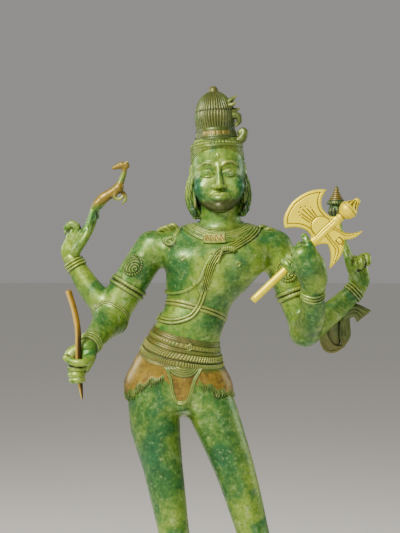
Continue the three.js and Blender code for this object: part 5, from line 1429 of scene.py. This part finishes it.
turned("axe_bud", round_rings(
    (148.5, 4.6), (151, 5.3), (153.6, 5.2), (155.5, 6.2), (159, 9.4), (163, 11.2), (166.5, 11.6), (169.3, 11.2),
    (172, 9.5), (176, 6.9), (179.5, 4.9), (182.5, 4.1), (184.6, 2.6), (185.2, 0.5)),
       bud_lift, 108, yellow_brass, "polished_brass", along_haft, pitch=0.6, contrast=0.9)


# Curved rod
# A loose curved rod of brass, darker than the axe and painted brighter down its left side as a highlight, with
# a socket in its upper end and a tapered foot. The right front fist grips it.
# Brass left to tarnish, brown in smears; tarnish and painted shade low down, a painted highlight down one side.
TARNISH_CLOUD_MM = 30
TARNISH_SMEAR_MM = 7
tanned_brass = coloured_metal("tanned_brass", {
    "cloud": (TARNISH_CLOUD_MM, 3, 0.55, 0.3), "smear": (TARNISH_SMEAR_MM, 4, 0.6, 0.5),
    "scratch": (POLISH_SCRATCH_MM, 2, 0.5, 0)}, "#a5801f", [
    ("cloud", 0.42, 0.62, 0.6, "#7d5f18", None), ("smear", 0.50, 0.70, 0.5, "#553f10", None),
    ("worn", 0.0, 1.0, 0.9, "#dcbc5a", None), ("tarnish", 0.0, 1.0, 0.92, "#33270f", None),
    ("relief", -0.1, -0.6, 0.95, "#2a1a05", None)],
    ("scratch", 0.15, 0.0003), roughness=("smear", 0.3, 0.7, 0.34, 0.5), Metallic=0.6)
ROD_STATIONS, ROD_SIDES = 90, 40
SOCKET_DEPTH_MM, SOCKET_RADIUS_MM, CLOSING_MM = 6.0, 1.9, 0.02
line = curve(ROD_LINE, 401)
run = run_along(line)
length = run[-1]
one_mm = MM / length
# From the socket's bottom up its wall, over the rod's end and down its outside to the foot
stations = np.array([SOCKET_DEPTH_MM * one_mm] * 2 + [0.6 * one_mm, 0.1 * one_mm, 0, 0.1 * one_mm]
                    + list(np.linspace(0.6 * one_mm, 1, ROD_STATIONS)) + [1.0])
taper = np.interp(np.linspace(0, 1, ROD_STATIONS), [0, 0.8, 0.9, 0.985, 1.0], [1, 1, 0.72, 0.34, 0.22])
radii = np.array([CLOSING_MM, SOCKET_RADIUS_MM, SOCKET_RADIUS_MM, SOCKET_RADIUS_MM + 0.3, 2.9, ROD_RADIUS_MM - 0.35]
                 + list(ROD_RADIUS_MM * taper) + [CLOSING_MM]) * MM
middle = np.stack([np.interp(stations * length, run, line[:, i]) for i in range(3)], -1)
ahead = unit(np.stack([np.interp(stations * length, run, np.gradient(line[:, i], run)) for i in range(3)], -1))
aside = unit(np.cross(ahead, (0, 1, 0)))
fore = np.cross(aside, ahead)
turn = even_turns(ROD_SIDES)[:, None, None]
rod_points = middle + radii[:, None] * on_circle(turn, aside, fore)
rod_shade = np.where(np.arange(len(radii)) < 3, -0.8, 0) + 0 * turn[..., 0]
# A painted highlight down the rod's side on the viewer's left, and painted shade with tarnish low down, most on the
# right.
to_the_right = np.cos(turn[..., 0]) * np.sign(aside[0, 0]) + 0 * stations
low_down = ramp(stations, 0.28, 0.48)
curved_rod = cast("rod", rod_points.reshape(-1, 3), net(*rod_points.shape[:2], True, False),
                  tanned_brass, "polished_brass", relief=rod_shade,
                  worn=np.clip(0.3 - 1.5 * to_the_right, 0, 1),
                  tarnish=np.clip(1.6 * to_the_right + 0.75, 0, 1) * low_down)
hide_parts("curved_rod")
